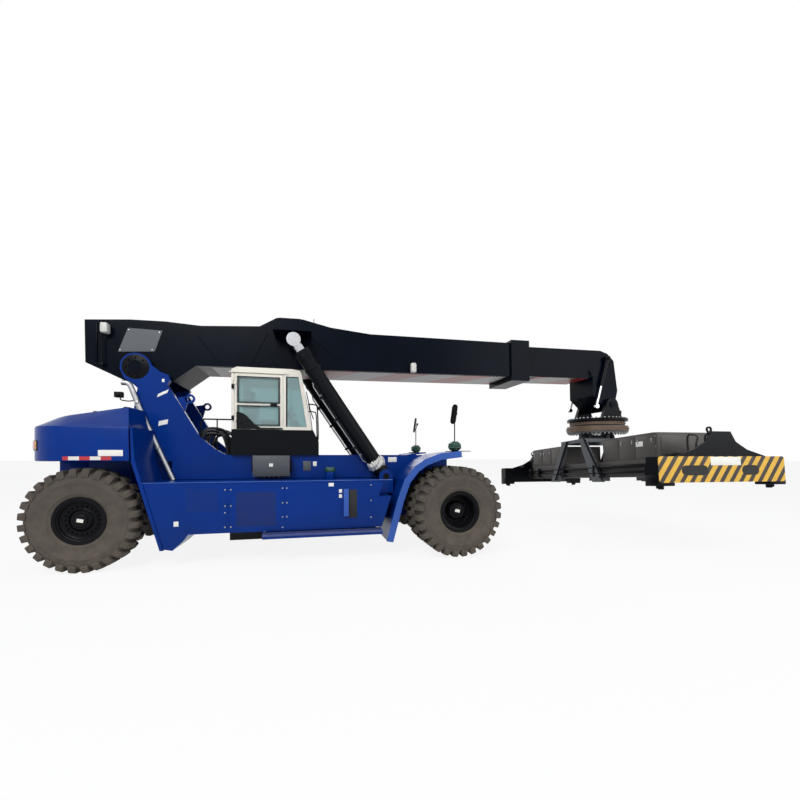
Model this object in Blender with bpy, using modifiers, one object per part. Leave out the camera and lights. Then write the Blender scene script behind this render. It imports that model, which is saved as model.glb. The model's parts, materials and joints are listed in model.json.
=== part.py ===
"""Reach stacker: chassis, cab, telescopic boom and telescopic container spreader.

Metres, +X is the driving direction (boom side), +Y the machine's left, +Z up.
Working coordinates have the rear axle at x = 0 and the centre plane at y = 0;
at the end the whole assembly is moved so that its base centre is the origin.
"""
import bpy
import bmesh
from math import cos, hypot, pi, radians, sin
from mathutils import Matrix, Vector

# ---------------------------------------------------------------- sizes
GAP = 0.0003            # between pieces that touch
WHEEL_STEPS = 28        # facets round a tyre and its rim
CLEAR = 0.001           # around a turning pin
WHEELBASE = 6.03
TYRE_R = 0.8075
AXLE_Z = TYRE_R
BEAD_R = 0.330
FRONT_TYRE_HALF = 0.240
FRONT_TYRE_Y = (1.30, 1.86)
REAR_TYRE_HALF = 0.250
REAR_TYRE_Y = 1.43
KINGPIN_Y = 1.22
CHASSIS_HALF = 0.675
CHASSIS_NARROW = 0.540
DECK_Z = 1.82
BOX_TOP = 1.36
BOX_BOTTOM = 0.52
BOX_SIDE = 1.60
BOOM_REST_DEG = 0.9
PIVOT = (0.39, 0.0, 3.40)
BOOM_HALF = 0.52
BOOM_BOTTOM = 0.085
BOOM_TOP = 0.845
BOOM_WALL = 0.03
BOOM_REAR = -0.85
BOOM_FRONT = 7.93
INNER_HALF = 0.43
INNER_BOTTOM = 0.125
INNER_TOP = 0.805
INNER_TAIL = -0.28
TOWER_IN = 0.575
TOWER_OUT = 0.675
PIVOT_PIN_R = 0.11
LIFT_Y = 0.90
LIFT_FOOT = (4.88, 1.40)
LIFT_EYE = (2.75, 0.545)
LIFT_BARREL_R = 0.145
LIFT_ROD_R = 0.095
HEAD_PIN = (10.58, 3.05)
HEAD_PIN_R = 0.075
DAMP_Y = 0.49
DAMP_TOP = (10.47, 4.16)
DAMP_EYE = (10.17, 3.00)
RING_R = 0.70
SLOPE_PIN_Z = 2.27
SPREADER_YAW = -0.055
SPREADER_TILT = -0.066
SPREADER_SHIFT = -0.16
TWIST_Z = -1.25
TWIST_X = 1.13
TWIST_Y = 2.9265
GIRDER_BOTTOM = TWIST_Z + 0.22
GIRDER_TOP = TWIST_Z + 0.57
FRAME_HALF_X = 0.60
FRAME_HALF_Y = 2.33
CAB_HALF = 0.75
CAB_REAR = 2.00
CAB_ROOF = 3.475
CAB_SILL = 2.30

# ---------------------------------------------------------------- scene
for old in list(bpy.data.objects):
    bpy.data.objects.remove(old, do_unlink=True)
PARTS = bpy.data.collections.new("reach_stacker")
CUTTERS = bpy.data.collections.new("cutters")
bpy.context.scene.collection.children.link(PARTS)
bpy.context.scene.collection.children.link(CUTTERS)

COLOURS = {
    "blue_paint": ((0.010, 0.060, 0.330), 0.0, 0.35),
    "black_paint": ((0.012, 0.014, 0.020), 0.0, 0.40),
    "boom_paint": ((0.012, 0.016, 0.035), 0.0, 0.40),
    "cab_paint": ((0.850, 0.820, 0.730), 0.0, 0.40),
    "grey_paint": ((0.160, 0.165, 0.175), 0.0, 0.50),
    "rubber": ((0.070, 0.062, 0.055), 0.0, 0.85),
    "steel": ((0.450, 0.450, 0.460), 1.0, 0.30),
    "glass": ((0.550, 0.680, 0.700), 0.0, 0.05),
    "seat_fabric": ((0.030, 0.030, 0.035), 0.0, 0.90),
    "engine_iron": ((0.090, 0.090, 0.095), 0.6, 0.60),
    "warning_yellow": ((0.720, 0.480, 0.080), 0.0, 0.45),
}


def material(name, colour):
    rgb, metallic, rough = COLOURS[colour]
    mat = bpy.data.materials.new(name)
    mat.use_nodes = True
    shader = mat.node_tree.nodes["Principled BSDF"]
    shader.inputs["Base Color"].default_value = (*rgb, 1.0)
    shader.inputs["Metallic"].default_value = metallic
    shader.inputs["Roughness"].default_value = rough
    mat.diffuse_color = (*rgb, 1.0)
    return mat


def empty(name, place, parent=None, turn=None):
    obj = bpy.data.objects.new(name, None)
    obj.empty_display_size = 0.2
    PARTS.objects.link(obj)
    world = Matrix.Translation(Vector(place))
    if turn is not None:
        world = world @ turn
    obj.parent = parent
    if parent is not None:
        obj.matrix_local = FRAMES[parent.name].inverted() @ world
    else:
        obj.matrix_local = world
    FRAMES[name] = world
    return obj


FRAMES = {}
NODES = {}
ROOT = empty("machine", (0.0, 0.0, 0.0))


def mesh_object(name, mesh, group):
    obj = bpy.data.objects.new(name, mesh)
    group.objects.link(obj)
    obj.parent = ROOT
    if group is CUTTERS:
        obj.hide_render = True
        obj.display_type = "WIRE"
    return obj


def box_mesh(name, lo, hi):
    bm = bmesh.new()
    bmesh.ops.create_cube(bm, size=1.0)
    size = Vector(hi) - Vector(lo)
    mid = (Vector(hi) + Vector(lo)) / 2.0
    bmesh.ops.scale(bm, vec=size, verts=bm.verts)
    bmesh.ops.translate(bm, vec=mid, verts=bm.verts)
    mesh = bpy.data.meshes.new(name)
    bm.to_mesh(mesh)
    bm.free()
    return mesh


def rod_mesh(name, start, end, radius, segments=24, radius_end=None):
    """A round bar between two points."""
    start = Vector(start)
    end = Vector(end)
    along = end - start
    bm = bmesh.new()
    bmesh.ops.create_cone(
        bm, cap_ends=True, cap_tris=False, segments=segments, radius1=radius,
        radius2=radius if radius_end is None else radius_end, depth=along.length,
    )
    turn = Vector((0.0, 0.0, 1.0)).rotation_difference(along.normalized()).to_matrix().to_4x4()
    place = Matrix.Translation((start + end) / 2.0) @ turn
    bmesh.ops.transform(bm, matrix=place, verts=bm.verts)
    mesh = bpy.data.meshes.new(name)
    bm.to_mesh(mesh)
    bm.free()
    return mesh


def slab_mesh(name, outline, lo, hi, plane="xz"):
    """A flat outline given as points, thickened between lo and hi."""
    curve = bpy.data.curves.new(name, "CURVE")
    curve.dimensions = "2D"
    curve.fill_mode = "BOTH"
    curve.extrude = abs(hi - lo) / 2.0
    spline = curve.splines.new("POLY")
    spline.points.add(len(outline) - 1)
    for point, (a, b) in zip(spline.points, outline):
        point.co = (a, b, 0.0, 1.0)
    spline.use_cyclic_u = True
    holder = bpy.data.objects.new(name, curve)
    CUTTERS.objects.link(holder)
    bpy.context.view_layer.update()
    graph = bpy.context.evaluated_depsgraph_get()
    mesh = bpy.data.meshes.new_from_object(holder.evaluated_get(graph))
    bpy.data.objects.remove(holder, do_unlink=True)
    bpy.data.curves.remove(curve)
    mid = (lo + hi) / 2.0
    turns = {
        "xz": Matrix(((1, 0, 0, 0), (0, 0, -1, mid), (0, 1, 0, 0), (0, 0, 0, 1))),
        "xy": Matrix(((1, 0, 0, 0), (0, 1, 0, 0), (0, 0, 1, mid), (0, 0, 0, 1))),
        "yz": Matrix(((0, 0, 1, mid), (1, 0, 0, 0), (0, 1, 0, 0), (0, 0, 0, 1))),
    }
    bm = bmesh.new()
    bm.from_mesh(mesh)
    bmesh.ops.remove_doubles(bm, verts=bm.verts, dist=0.00005)
    bmesh.ops.transform(bm, matrix=turns[plane], verts=bm.verts)
    bmesh.ops.recalc_face_normals(bm, faces=bm.faces)
    bm.to_mesh(mesh)
    bm.free()
    mesh.materials.clear()
    return mesh


def spin_mesh(name, profile, centre, side=1.0, steps=WHEEL_STEPS):
    """A closed profile of (radius, distance along Y) pairs turned about the Y axis.

    side mirrors the profile for the right-hand (-Y) copy; points on the axis close the end.
    """
    bm = bmesh.new()
    verts = [bm.verts.new((r, side * y, 0.0)) for r, y in profile]
    closed = profile[0][0] > 0.0
    edges = [bm.edges.new((verts[i], verts[i + 1])) for i in range(len(verts) - 1)]
    if closed:
        edges.append(bm.edges.new((verts[-1], verts[0])))
    bmesh.ops.spin(
        bm, geom=verts + edges, cent=(0.0, 0.0, 0.0), axis=(0.0, 1.0, 0.0),
        angle=2.0 * pi, steps=steps, use_merge=True,
    )
    bmesh.ops.remove_doubles(bm, verts=bm.verts, dist=0.00005)
    bmesh.ops.recalc_face_normals(bm, faces=bm.faces)
    # a facet, not an edge, rests on the ground
    bmesh.ops.rotate(bm, cent=(0, 0, 0), matrix=Matrix.Rotation(pi / steps, 3, "Y"), verts=bm.verts)
    bmesh.ops.translate(bm, vec=Vector(centre), verts=bm.verts)
    mesh = bpy.data.meshes.new(name)
    bm.to_mesh(mesh)
    bm.free()
    return mesh


def turned(mesh, matrix):
    mesh.transform(matrix)
    return mesh


def part(name, body, mesh, colour, add=(), cut=(), smooth=False, bevel=0.0):
    """One sub-part: a mesh, what is fused to it, what is cut away, and its material."""
    obj = mesh_object(name, mesh, PARTS)
    for kind, operands in (("UNION", add), ("DIFFERENCE", cut)):
        for number, operand in enumerate(operands):
            tool = mesh_object(f"{name}_{kind.lower()}_{number}", operand, CUTTERS)
            mod = obj.modifiers.new(tool.name, "BOOLEAN")
            mod.operation = kind
            mod.solver = "EXACT"
            mod.object = tool
    if bevel > 0.0:
        mod = obj.modifiers.new("edges", "BEVEL")
        mod.width = bevel
        mod.segments = 1
        mod.limit_method = "ANGLE"
    obj.data.materials.append(material(f"{name}_mat", colour))
    for face in obj.data.polygons:
        face.use_smooth = smooth
    NODES[name] = (obj, body)
    return obj


def arc(centre, radius, start_deg, end_deg, count):
    out = []
    for i in range(count + 1):
        angle = radians(start_deg + (end_deg - start_deg) * i / count)
        out.append((centre[0] + radius * cos(angle), centre[1] + radius * sin(angle)))
    return out


SIDES = (("right", -1.0), ("left", 1.0))


def ys(side, a, b):
    """Lower and upper Y of a piece that spans a..b outwards on one side."""
    return (min(side * a, side * b), max(side * a, side * b))


def side_box_mesh(name, side, x0, x1, a, b, z0, z1):
    lo, hi = ys(side, a, b)
    return box_mesh(name, (x0, lo, z0), (x1, hi, z1))


def side_slab(name, side, outline, a, b):
    lo, hi = ys(side, a, b)
    return slab_mesh(name, outline, lo, hi, "xz")


def cross_rod(name, side, x, z, a, b, radius, segments=24):
    lo, hi = ys(side, a, b)
    return rod_mesh(name, (x, lo, z), (x, hi, z), radius, segments)


# ---------------------------------------------------------------- body frames
TILT_BOOM = Matrix.Rotation(-radians(BOOM_REST_DEG), 4, "Y")
BOOM = empty("boom_frame", PIVOT, ROOT, TILT_BOOM)
BOOM_WORLD = FRAMES["boom_frame"]
TURN_HEAD = Matrix.Rotation(SPREADER_YAW, 4, "Z")
TURN_SLOPE = TURN_HEAD @ Matrix.Rotation(SPREADER_TILT, 4, "X")
SLOPE_WORLD = Matrix.Translation((HEAD_PIN[0], 0.0, SLOPE_PIN_Z)) @ TURN_SLOPE
SLEW_WORLD = Matrix.Translation((HEAD_PIN[0], 0.0, SLOPE_PIN_Z)) @ TURN_HEAD


def boom_mesh(mesh):
    return turned(mesh, BOOM_WORLD)


def slope_mesh(mesh):
    return turned(mesh, SLOPE_WORLD)


def slew_mesh(mesh):
    return turned(mesh, SLEW_WORLD)


def frame_mesh(mesh):
    return turned(mesh, SLOPE_WORLD @ Matrix.Translation((0.0, SPREADER_SHIFT, 0.0)))


def boom_to_world(x, z):
    point = BOOM_WORLD @ Vector((x, 0.0, z))
    return (point.x, point.z)


EYE_WORLD = boom_to_world(*LIFT_EYE)

# ---------------------------------------------------------------- chassis
FOOT_X, FOOT_Z = LIFT_FOOT
chassis_add = [
    # deck and upper side plates, from behind the pivot tower to the front axle
    box_mesh("upper", (0.98, -CHASSIS_HALF, 1.37), (6.28, CHASSIS_HALF, DECK_Z)),
    box_mesh("front_box", (5.35, -CHASSIS_HALF, 0.62), (6.60, CHASSIS_HALF, 1.45)),
    box_mesh("belly_box", (1.10, -0.53, 0.55), (5.40, 0.53, 1.45)),
]
for tag, s in SIDES:
    chassis_add.append(side_box_mesh("foot_arm", s, 4.74, 5.02, 0.51, 1.09, 1.08, 1.20))
    chassis_add.append(side_box_mesh("foot_web", s, 4.70, 5.06, 0.51, CHASSIS_HALF, 1.08, 1.50))
    cheek = [(4.74, 1.10), (5.02, 1.10), (5.02, 1.40)] + arc(LIFT_FOOT, 0.14, 0, 180, 8) + [(4.74, 1.40)]
    chassis_add.append(side_slab("foot_cheek", s, cheek, 1.055, 1.09))
chassis_cut = [
    box_mesh("engine_bay", (1.30, -0.45, 0.40), (2.75, 0.45, 1.62)),
    box_mesh("axle_slot", (WHEELBASE - 0.36, -0.80, 0.50), (WHEELBASE + 0.36, 0.80, 1.11)),
]
for tag, s in SIDES:
    chassis_cut.append(cross_rod("foot_bore", s, FOOT_X, FOOT_Z, 0.50, 1.30, 0.060 + CLEAR * 1.3, 32))
part(
    "chassis_frame", "chassis",
    box_mesh("chassis_frame", (-0.40, -CHASSIS_NARROW, 1.05), (2.10, CHASSIS_NARROW, 1.70)),
    "blue_paint", add=chassis_add, cut=chassis_cut,
)

PX, PZ = PIVOT[0], PIVOT[2]
TOWER_LINE = arc((PX, PZ), 0.25, 205, 12, 12) + [
    (0.78, 3.33), (0.92, 3.28), (0.94, 3.18), (0.90, 3.10), (1.447, 2.15), (1.72, DECK_Z + 0.10),
    (1.90, DECK_Z + GAP), (1.90, 1.705), (0.26, 1.705), (0.33, 2.44), (0.42, 3.02), (0.34, 3.10),
    (0.20, 3.20),
]
for tag, s in SIDES:
    part(
        f"boom_tower_{tag}", "chassis", side_slab(f"boom_tower_{tag}", s, TOWER_LINE, TOWER_IN,
                                                  TOWER_OUT),
        "blue_paint",
        cut=[
            cross_rod("pivot_bore", s, PX, PZ, 0.50, 0.80, PIVOT_PIN_R + CLEAR * 1.5, 32),
            side_box_mesh("deck_notch", s, 0.98 - GAP, 2.2, 0.40, CHASSIS_HALF + GAP, 1.5, DECK_Z + GAP),
        ],
    )

CWT_REAR = -0.86
CWT_SIDE = 1.60
CWT_ROUND = 0.62        # rear corner, seen from above
CWT = [(CWT_REAR, 1.72), (0.655, 1.72), (0.64, 2.27), (0.53, 2.62), (CWT_REAR + 0.26, 2.36),
       (CWT_REAR + 0.07, 2.26), (CWT_REAR, 2.10)]
cwt_add = [
    box_mesh("lower_weight", (CWT_REAR + 0.02, -0.55, 1.00), (-0.40 - GAP, 0.55, 1.73)),
]
cwt_cut = [box_mesh("tower_gap", (0.20, -0.70, 1.60), (1.00, 0.70, 2.90))]
for tag, s in SIDES:
    round_x, round_y = CWT_REAR + CWT_ROUND, CWT_SIDE - CWT_ROUND
    corner = [(CWT_REAR - 0.1, -CWT_SIDE - 0.1), (round_x, -CWT_SIDE - 0.1)]
    corner += arc((round_x, -round_y), CWT_ROUND, 270, 180, 12) + [(CWT_REAR - 0.1, -round_y)]
    outline = [(a, -s * b) for a, b in corner]
    cwt_cut.append(slab_mesh("corner", outline, 1.65, 2.70, "xy"))
part(
    "counterweight", "chassis", slab_mesh("counterweight", CWT, -CWT_SIDE, CWT_SIDE), "blue_paint",
    add=cwt_add, cut=cwt_cut,
)
part(
    "engine_block", "chassis", box_mesh("engine_block", (1.33, -0.42, 0.57), (2.72, 0.42, 1.62 - GAP)),
    "engine_iron",
)

GUARD_LINE = [(0.675, 2.25), (0.705, 2.25), (0.735, 1.74), (1.14, 0.28), (1.09, 0.28), (0.69, 1.70)]
for tag, s in SIDES:
    part(
        f"side_box_{tag}", "chassis",
        side_slab(f"side_box_{tag}", s, [
            (1.115, 0.30), (1.27, 0.27), (1.43, 0.42), (1.50, BOX_BOTTOM), (4.70, BOX_BOTTOM),
            (4.965, BOX_TOP), (0.812, BOX_TOP),
        ], 0.55, BOX_SIDE),
        "blue_paint",
        add=[
            side_slab("mudguard", s, GUARD_LINE, CHASSIS_HALF + GAP, 1.62),
            side_box_mesh("battery", s, 2.15, 2.66, 0.90, BOX_SIDE - 0.02, 0.41, 0.60),
            side_box_mesh("step", s, 2.66, 4.68, BOX_SIDE - 0.10, 1.78, 0.42, 0.49),
            side_box_mesh("step_mount", s, 2.70, 4.60, 1.30, BOX_SIDE - 0.05, 0.42, 0.56),
        ],
        cut=[
            side_box_mesh("notch", s, 4.63, 5.20, 0.50, 1.70, 1.07, 1.40),
            side_box_mesh("chassis_side", s, 0.90, 5.50, 0.40, CHASSIS_HALF + GAP, 1.30, 1.90),
            side_box_mesh("belly_side", s, 0.90, 5.50, 0.40, 0.53 + GAP, 0.30, 1.50),
            side_box_mesh("wheel_side", s, 0.60, 1.60, 0.40, CHASSIS_HALF + GAP, 0.10, 1.33),
        ],
    )

FENDER_OUT = [(4.79, 0.26), (4.99, 1.00), (5.12, 1.36), (5.31, 1.60), (5.50, 1.73), (5.80, 1.84),
              (6.22, 1.89)]


def offset_line(line, distance):
    """The same open line moved sideways to its right."""
    out = []
    for i, point in enumerate(line):
        before = line[max(i - 1, 0)]
        after = line[min(i + 1, len(line) - 1)]
        run = (after[0] - before[0], after[1] - before[1])
        size = hypot(*run)
        out.append((point[0] + distance * run[1] / size, point[1] - distance * run[0] / size))
    return out


FENDER_SKIN = FENDER_OUT + list(reversed(offset_line(FENDER_OUT, 0.03)))
LIP_OUT = offset_line([(4.788, 0.252)] + FENDER_OUT[1:-1] + [(6.226, 1.891)], -0.005)
FENDER_LIP = LIP_OUT + list(reversed(offset_line(FENDER_OUT[:1] + FENDER_OUT[1:], 0.11)))
for tag, s in SIDES:
    part(
        f"front_fender_{tag}", "chassis", side_slab(f"front_fender_{tag}", s, FENDER_SKIN,
                                                    CHASSIS_HALF + GAP, 1.62),
        "blue_paint",
        add=[side_slab("lip", s, FENDER_LIP, 1.605, 1.64)],
        cut=[side_box_mesh("foot_room", s, 4.60, 5.05, 0.60, 1.10, 1.05, 1.60)],
    )

# ---------------------------------------------------------------- axles, knuckles, wheels
part(
    "front_axle", "chassis", box_mesh("front_axle", (WHEELBASE - 0.22, -0.95, AXLE_Z - 0.22),
                                      (WHEELBASE + 0.22, 0.95, AXLE_Z + 0.22)),
    "black_paint",
    add=[
        rod_mesh("differential", (WHEELBASE - 0.34, 0.0, AXLE_Z), (WHEELBASE + 0.34, 0.0, AXLE_Z), 0.30,
                 24),
        rod_mesh("spindles", (WHEELBASE, -1.70, AXLE_Z), (WHEELBASE, 1.70, AXLE_Z), 0.12, 32),
        box_mesh("saddle", (WHEELBASE - 0.28, -0.62, AXLE_Z + 0.2), (WHEELBASE + 0.28, 0.62, 1.11 - GAP)),
    ],
)
part(
    "rear_axle", "chassis", box_mesh("rear_axle", (-0.16, -1.05, AXLE_Z - 0.14),
                                     (0.16, 1.05, AXLE_Z + 0.14)),
    "black_paint",
    add=[
        box_mesh("saddle", (-0.20, -0.30, AXLE_Z), (0.20, 0.30, 1.05 - GAP)),
        box_mesh("fork", (-0.10, -KINGPIN_Y, AXLE_Z - 0.21), (0.10, KINGPIN_Y, AXLE_Z + 0.21)),
        rod_mesh("eye_r", (0.0, -KINGPIN_Y, AXLE_Z - 0.21), (0.0, -KINGPIN_Y, AXLE_Z + 0.21), 0.10, 24),
        rod_mesh("eye_l", (0.0, KINGPIN_Y, AXLE_Z - 0.21), (0.0, KINGPIN_Y, AXLE_Z + 0.21), 0.10, 24),
    ],
    cut=[
        box_mesh("mouth_r", (-0.30, -1.60, AXLE_Z - 0.125), (0.30, -1.08, AXLE_Z + 0.125)),
        box_mesh("mouth_l", (-0.30, 1.08, AXLE_Z - 0.125), (0.30, 1.60, AXLE_Z + 0.125)),
        box_mesh("waist_r", (-0.30, -1.00, AXLE_Z + 0.14), (0.30, -0.32, AXLE_Z + 0.40)),
        box_mesh("waist_l", (-0.30, 0.32, AXLE_Z + 0.14), (0.30, 1.00, AXLE_Z + 0.40)),
        rod_mesh("pin_r", (0.0, -KINGPIN_Y, AXLE_Z - 0.4), (0.0, -KINGPIN_Y, AXLE_Z + 0.4), 0.0455, 32),
        rod_mesh("pin_l", (0.0, KINGPIN_Y, AXLE_Z - 0.4), (0.0, KINGPIN_Y, AXLE_Z + 0.4), 0.0455, 32),
    ],
)


def tyre_profile(half):
    tread = TYRE_R / cos(pi / WHEEL_STEPS)
    upper = [(BEAD_R, half - 0.05), (0.372, half - 0.05), (0.45, half - 0.012), (0.58, half),
             (0.70, half - 0.004),
             (0.775, half - 0.035), (tread, half - 0.075)]
    return upper + [(r, -y) for r, y in reversed(upper)]


def rim_profile(inner, outer, disc, cap, hub_depth, bore_r=0.1215):
    """Rim from the outer cap round to the blind bore; distances are outwards from the centre plane."""
    return [
        (0.0, cap), (0.14, cap), (0.165, cap - 0.03), (0.165, disc + 0.02), (0.275, disc + 0.02),
        (0.30, outer),
        (0.368, outer), (0.368, outer - 0.017), (BEAD_R - GAP, outer - 0.017),
        (BEAD_R - GAP, inner + 0.017), (0.368, inner + 0.017), (0.368, inner), (0.30, inner),
        (0.29, disc - 0.02), (0.165, disc - 0.02), (0.165, hub_depth), (bore_r, hub_depth),
        (bore_r, cap - 0.10), (0.0, cap - 0.10),
    ]


for tag, s in SIDES:
    body = f"front_wheels_{tag}"
    for place, y in zip(("inner", "outer"), FRONT_TYRE_Y):
        part(
            f"front_tyre_{place}_{tag}", body,
            spin_mesh("tyre", tyre_profile(FRONT_TYRE_HALF), (WHEELBASE, s * y, AXLE_Z)),
            "rubber", smooth=False,
        )
    rim_in = FRONT_TYRE_Y[0] - FRONT_TYRE_HALF + 0.05 - 0.0175
    rim_out = FRONT_TYRE_Y[1] + FRONT_TYRE_HALF - 0.05 + 0.0175
    part(
        f"front_rim_{tag}", body,
        spin_mesh("rim", rim_profile(rim_in, rim_out, 1.78, 1.93, 1.20), (WHEELBASE, 0.0, AXLE_Z), s),
        "black_paint",
    )
    body = f"rear_wheel_{tag}"
    part(
        f"rear_tyre_{tag}", body, spin_mesh("tyre", tyre_profile(REAR_TYRE_HALF),
                                            (0.0, s * REAR_TYRE_Y, AXLE_Z)),
        "rubber",
    )
    rim_in = REAR_TYRE_Y - REAR_TYRE_HALF + 0.05 - 0.0175
    rim_out = REAR_TYRE_Y + REAR_TYRE_HALF - 0.05 + 0.0175
    part(
        f"rear_rim_{tag}", body,
        spin_mesh("rim", rim_profile(rim_in, rim_out, 1.55, 1.62, 1.44, 0.0815), (0.0, 0.0, AXLE_Z), s),
        "black_paint",
    )
    part(
        f"rear_knuckle_{tag}", f"rear_knuckle_{tag}",
        rod_mesh("knuckle", (0.0, s * KINGPIN_Y, AXLE_Z - 0.12), (0.0, s * KINGPIN_Y, AXLE_Z + 0.12),
                 0.09, 24),
        "black_paint",
        add=[
            rod_mesh("kingpin", (0.0, s * KINGPIN_Y, AXLE_Z - 0.23), (0.0, s * KINGPIN_Y, AXLE_Z + 0.23),
                     0.0445, 24),
            rod_mesh("spindle", (0.0, s * KINGPIN_Y, AXLE_Z), (0.0, s * 1.515, AXLE_Z), 0.080, 32),
        ],
    )

# ---------------------------------------------------------------- cab
BASE_LINE = [(CAB_REAR, DECK_Z + GAP), (3.60, DECK_Z + GAP), (3.60, 2.08), (3.49, CAB_SILL - GAP),
             (CAB_REAR, CAB_SILL - GAP)]
part(
    "cab_base", "chassis", slab_mesh("cab_base", BASE_LINE, -CAB_HALF, CAB_HALF), "black_paint",
    cut=[box_mesh("floor_well", (CAB_REAR + 0.06, -CAB_HALF + 0.05, 1.92),
                  (3.43, CAB_HALF - 0.05, 2.60))],
)
SHELL_LINE = [(CAB_REAR, CAB_SILL), (3.46, CAB_SILL), (3.27, 3.40), (3.24, CAB_ROOF - 0.02),
              (3.10, CAB_ROOF),
              (2.10, CAB_ROOF), (CAB_REAR, CAB_ROOF - 0.05)]
ROOM_LINE = [(CAB_REAR + 0.06, 2.10), (3.445, 2.10), (3.20, 3.385), (CAB_REAR + 0.06, 3.385)]
WIND_CUT = [(3.30, CAB_SILL + 0.06), (3.60, CAB_SILL + 0.06), (3.60, 3.33), (3.10, 3.33)]
shell_cut = [
    slab_mesh("room", ROOM_LINE, -CAB_HALF + 0.05, CAB_HALF - 0.05),
    slab_mesh("front_opening", WIND_CUT, -CAB_HALF + 0.07, CAB_HALF - 0.07),
    box_mesh("rear_opening", (1.80, -0.60, 2.42), (2.30, 0.60, 3.30)),
    slab_mesh("right_window", [(2.98, 2.36), (3.37, 2.36), (3.215, 3.33), (2.98, 3.33)], -1.0, -0.60),
    slab_mesh("left_window", [(2.14, 2.36), (3.37, 2.36), (3.215, 3.33), (2.14, 3.33)], 0.60, 1.0),
    box_mesh("doorway", (2.05, -1.0, 2.20), (2.93, -0.60, 3.36)),
]
HINGE_X = 2.056
HINGE_Y = -0.762
HINGE_Z = (2.50, 3.20)
part(
    "cab_frame", "chassis", slab_mesh("cab_frame", SHELL_LINE, -CAB_HALF, CAB_HALF), "cab_paint",
    cut=shell_cut,
    add=[
        mesh
        for z in HINGE_Z
        for mesh in (
            rod_mesh("knuckle", (HINGE_X, HINGE_Y, z + GAP), (HINGE_X, HINGE_Y, z + 0.06), 0.010, 12),
            box_mesh("leaf", (2.015, HINGE_Y - 0.008, z + 0.005), (HINGE_X, -0.740, z + 0.055)),
        )
    ],
)
part(
    "windshield", "chassis",
    slab_mesh("windshield", [(3.427, CAB_SILL + 0.0603), (3.435, CAB_SILL + 0.0603), (3.258, 3.3297),
                             (3.250, 3.3297)], -CAB_HALF + 0.07 + GAP, CAB_HALF - 0.07 - GAP),
    "glass",
)
part(
    "side_window_right", "chassis",
    slab_mesh("side_window_right", [(2.9805, 2.3605), (3.3685, 2.3605), (3.2145, 3.3295),
                                    (2.9805, 3.3295)], -0.730, -0.722),
    "glass",
)
part(
    "side_window_left", "chassis",
    slab_mesh("side_window_left", [(2.1405, 2.3605), (3.3685, 2.3605), (3.2145, 3.3295),
                                   (2.1405, 3.3295)], 0.722, 0.730),
    "glass",
)
part("rear_window", "chassis", box_mesh("rear_window", (2.026, -0.5995, 2.4205), (2.034, 0.5995, 3.2995)),
     "glass")
part(
    "cab_door", "cab_door", box_mesh("cab_door", (2.056, -0.756, 2.306), (2.924, -0.716, 3.354)),
    "cab_paint",
    cut=[
        box_mesh("upper_light", (2.12, -1.0, 2.79), (2.86, -0.5, 3.28)),
        box_mesh("lower_light", (2.12, -1.0, 2.36), (2.86, -0.5, 2.74)),
    ],
    add=[
        mesh
        for z in HINGE_Z
        for mesh in (
            rod_mesh("knuckle", (HINGE_X, HINGE_Y, z - 0.06), (HINGE_X, HINGE_Y, z), 0.010, 12),
            box_mesh("leaf", (HINGE_X, HINGE_Y - 0.008, z - 0.055), (2.09, -0.735, z - 0.005)),
        )
    ],
)
part("door_window_upper", "cab_door", box_mesh("door_window_upper", (2.1203, -0.742, 2.7903),
                                               (2.8597, -0.734, 3.2797)),
     "glass")
part("door_window_lower", "cab_door", box_mesh("door_window_lower", (2.1203, -0.742, 2.3603),
                                               (2.8597, -0.734, 2.7397)),
     "glass")
part(
    "driver_seat", "chassis", box_mesh("driver_seat", (2.32, -0.27, 2.34), (2.86, 0.27, 2.50)),
    "seat_fabric",
    add=[
        box_mesh("plinth", (2.45, -0.18, 1.92 + GAP), (2.75, 0.18, 2.36)),
        slab_mesh("backrest", [(2.30, 2.45), (2.44, 2.45), (2.34, 3.12), (2.22, 3.12)], -0.25, 0.25),
    ],
)
part(
    "steering_console", "chassis",
    slab_mesh("steering_console", [(3.15, 1.92 + GAP), (3.38, 1.92 + GAP), (3.33, 2.30), (3.16, 2.56),
                                   (3.06, 2.50)],
              -0.16, 0.16),
    "black_paint",
    add=[turned(rod_mesh("wheel", (0.0, 0.0, 0.0), (0.0, 0.0, 0.025), 0.19, 20),
                Matrix.Translation((3.02, 0.0, 2.60)) @ Matrix.Rotation(radians(-28), 4, "Y")),
         rod_mesh("column", (3.14, 0.0, 2.42), (3.025, 0.0, 2.615), 0.035, 12)],
)
part("electrical_box", "chassis", box_mesh("electrical_box", (2.40, -0.93, 1.42),
                                           (3.06, -CHASSIS_HALF - GAP, 1.81)),
     "grey_paint")

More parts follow.
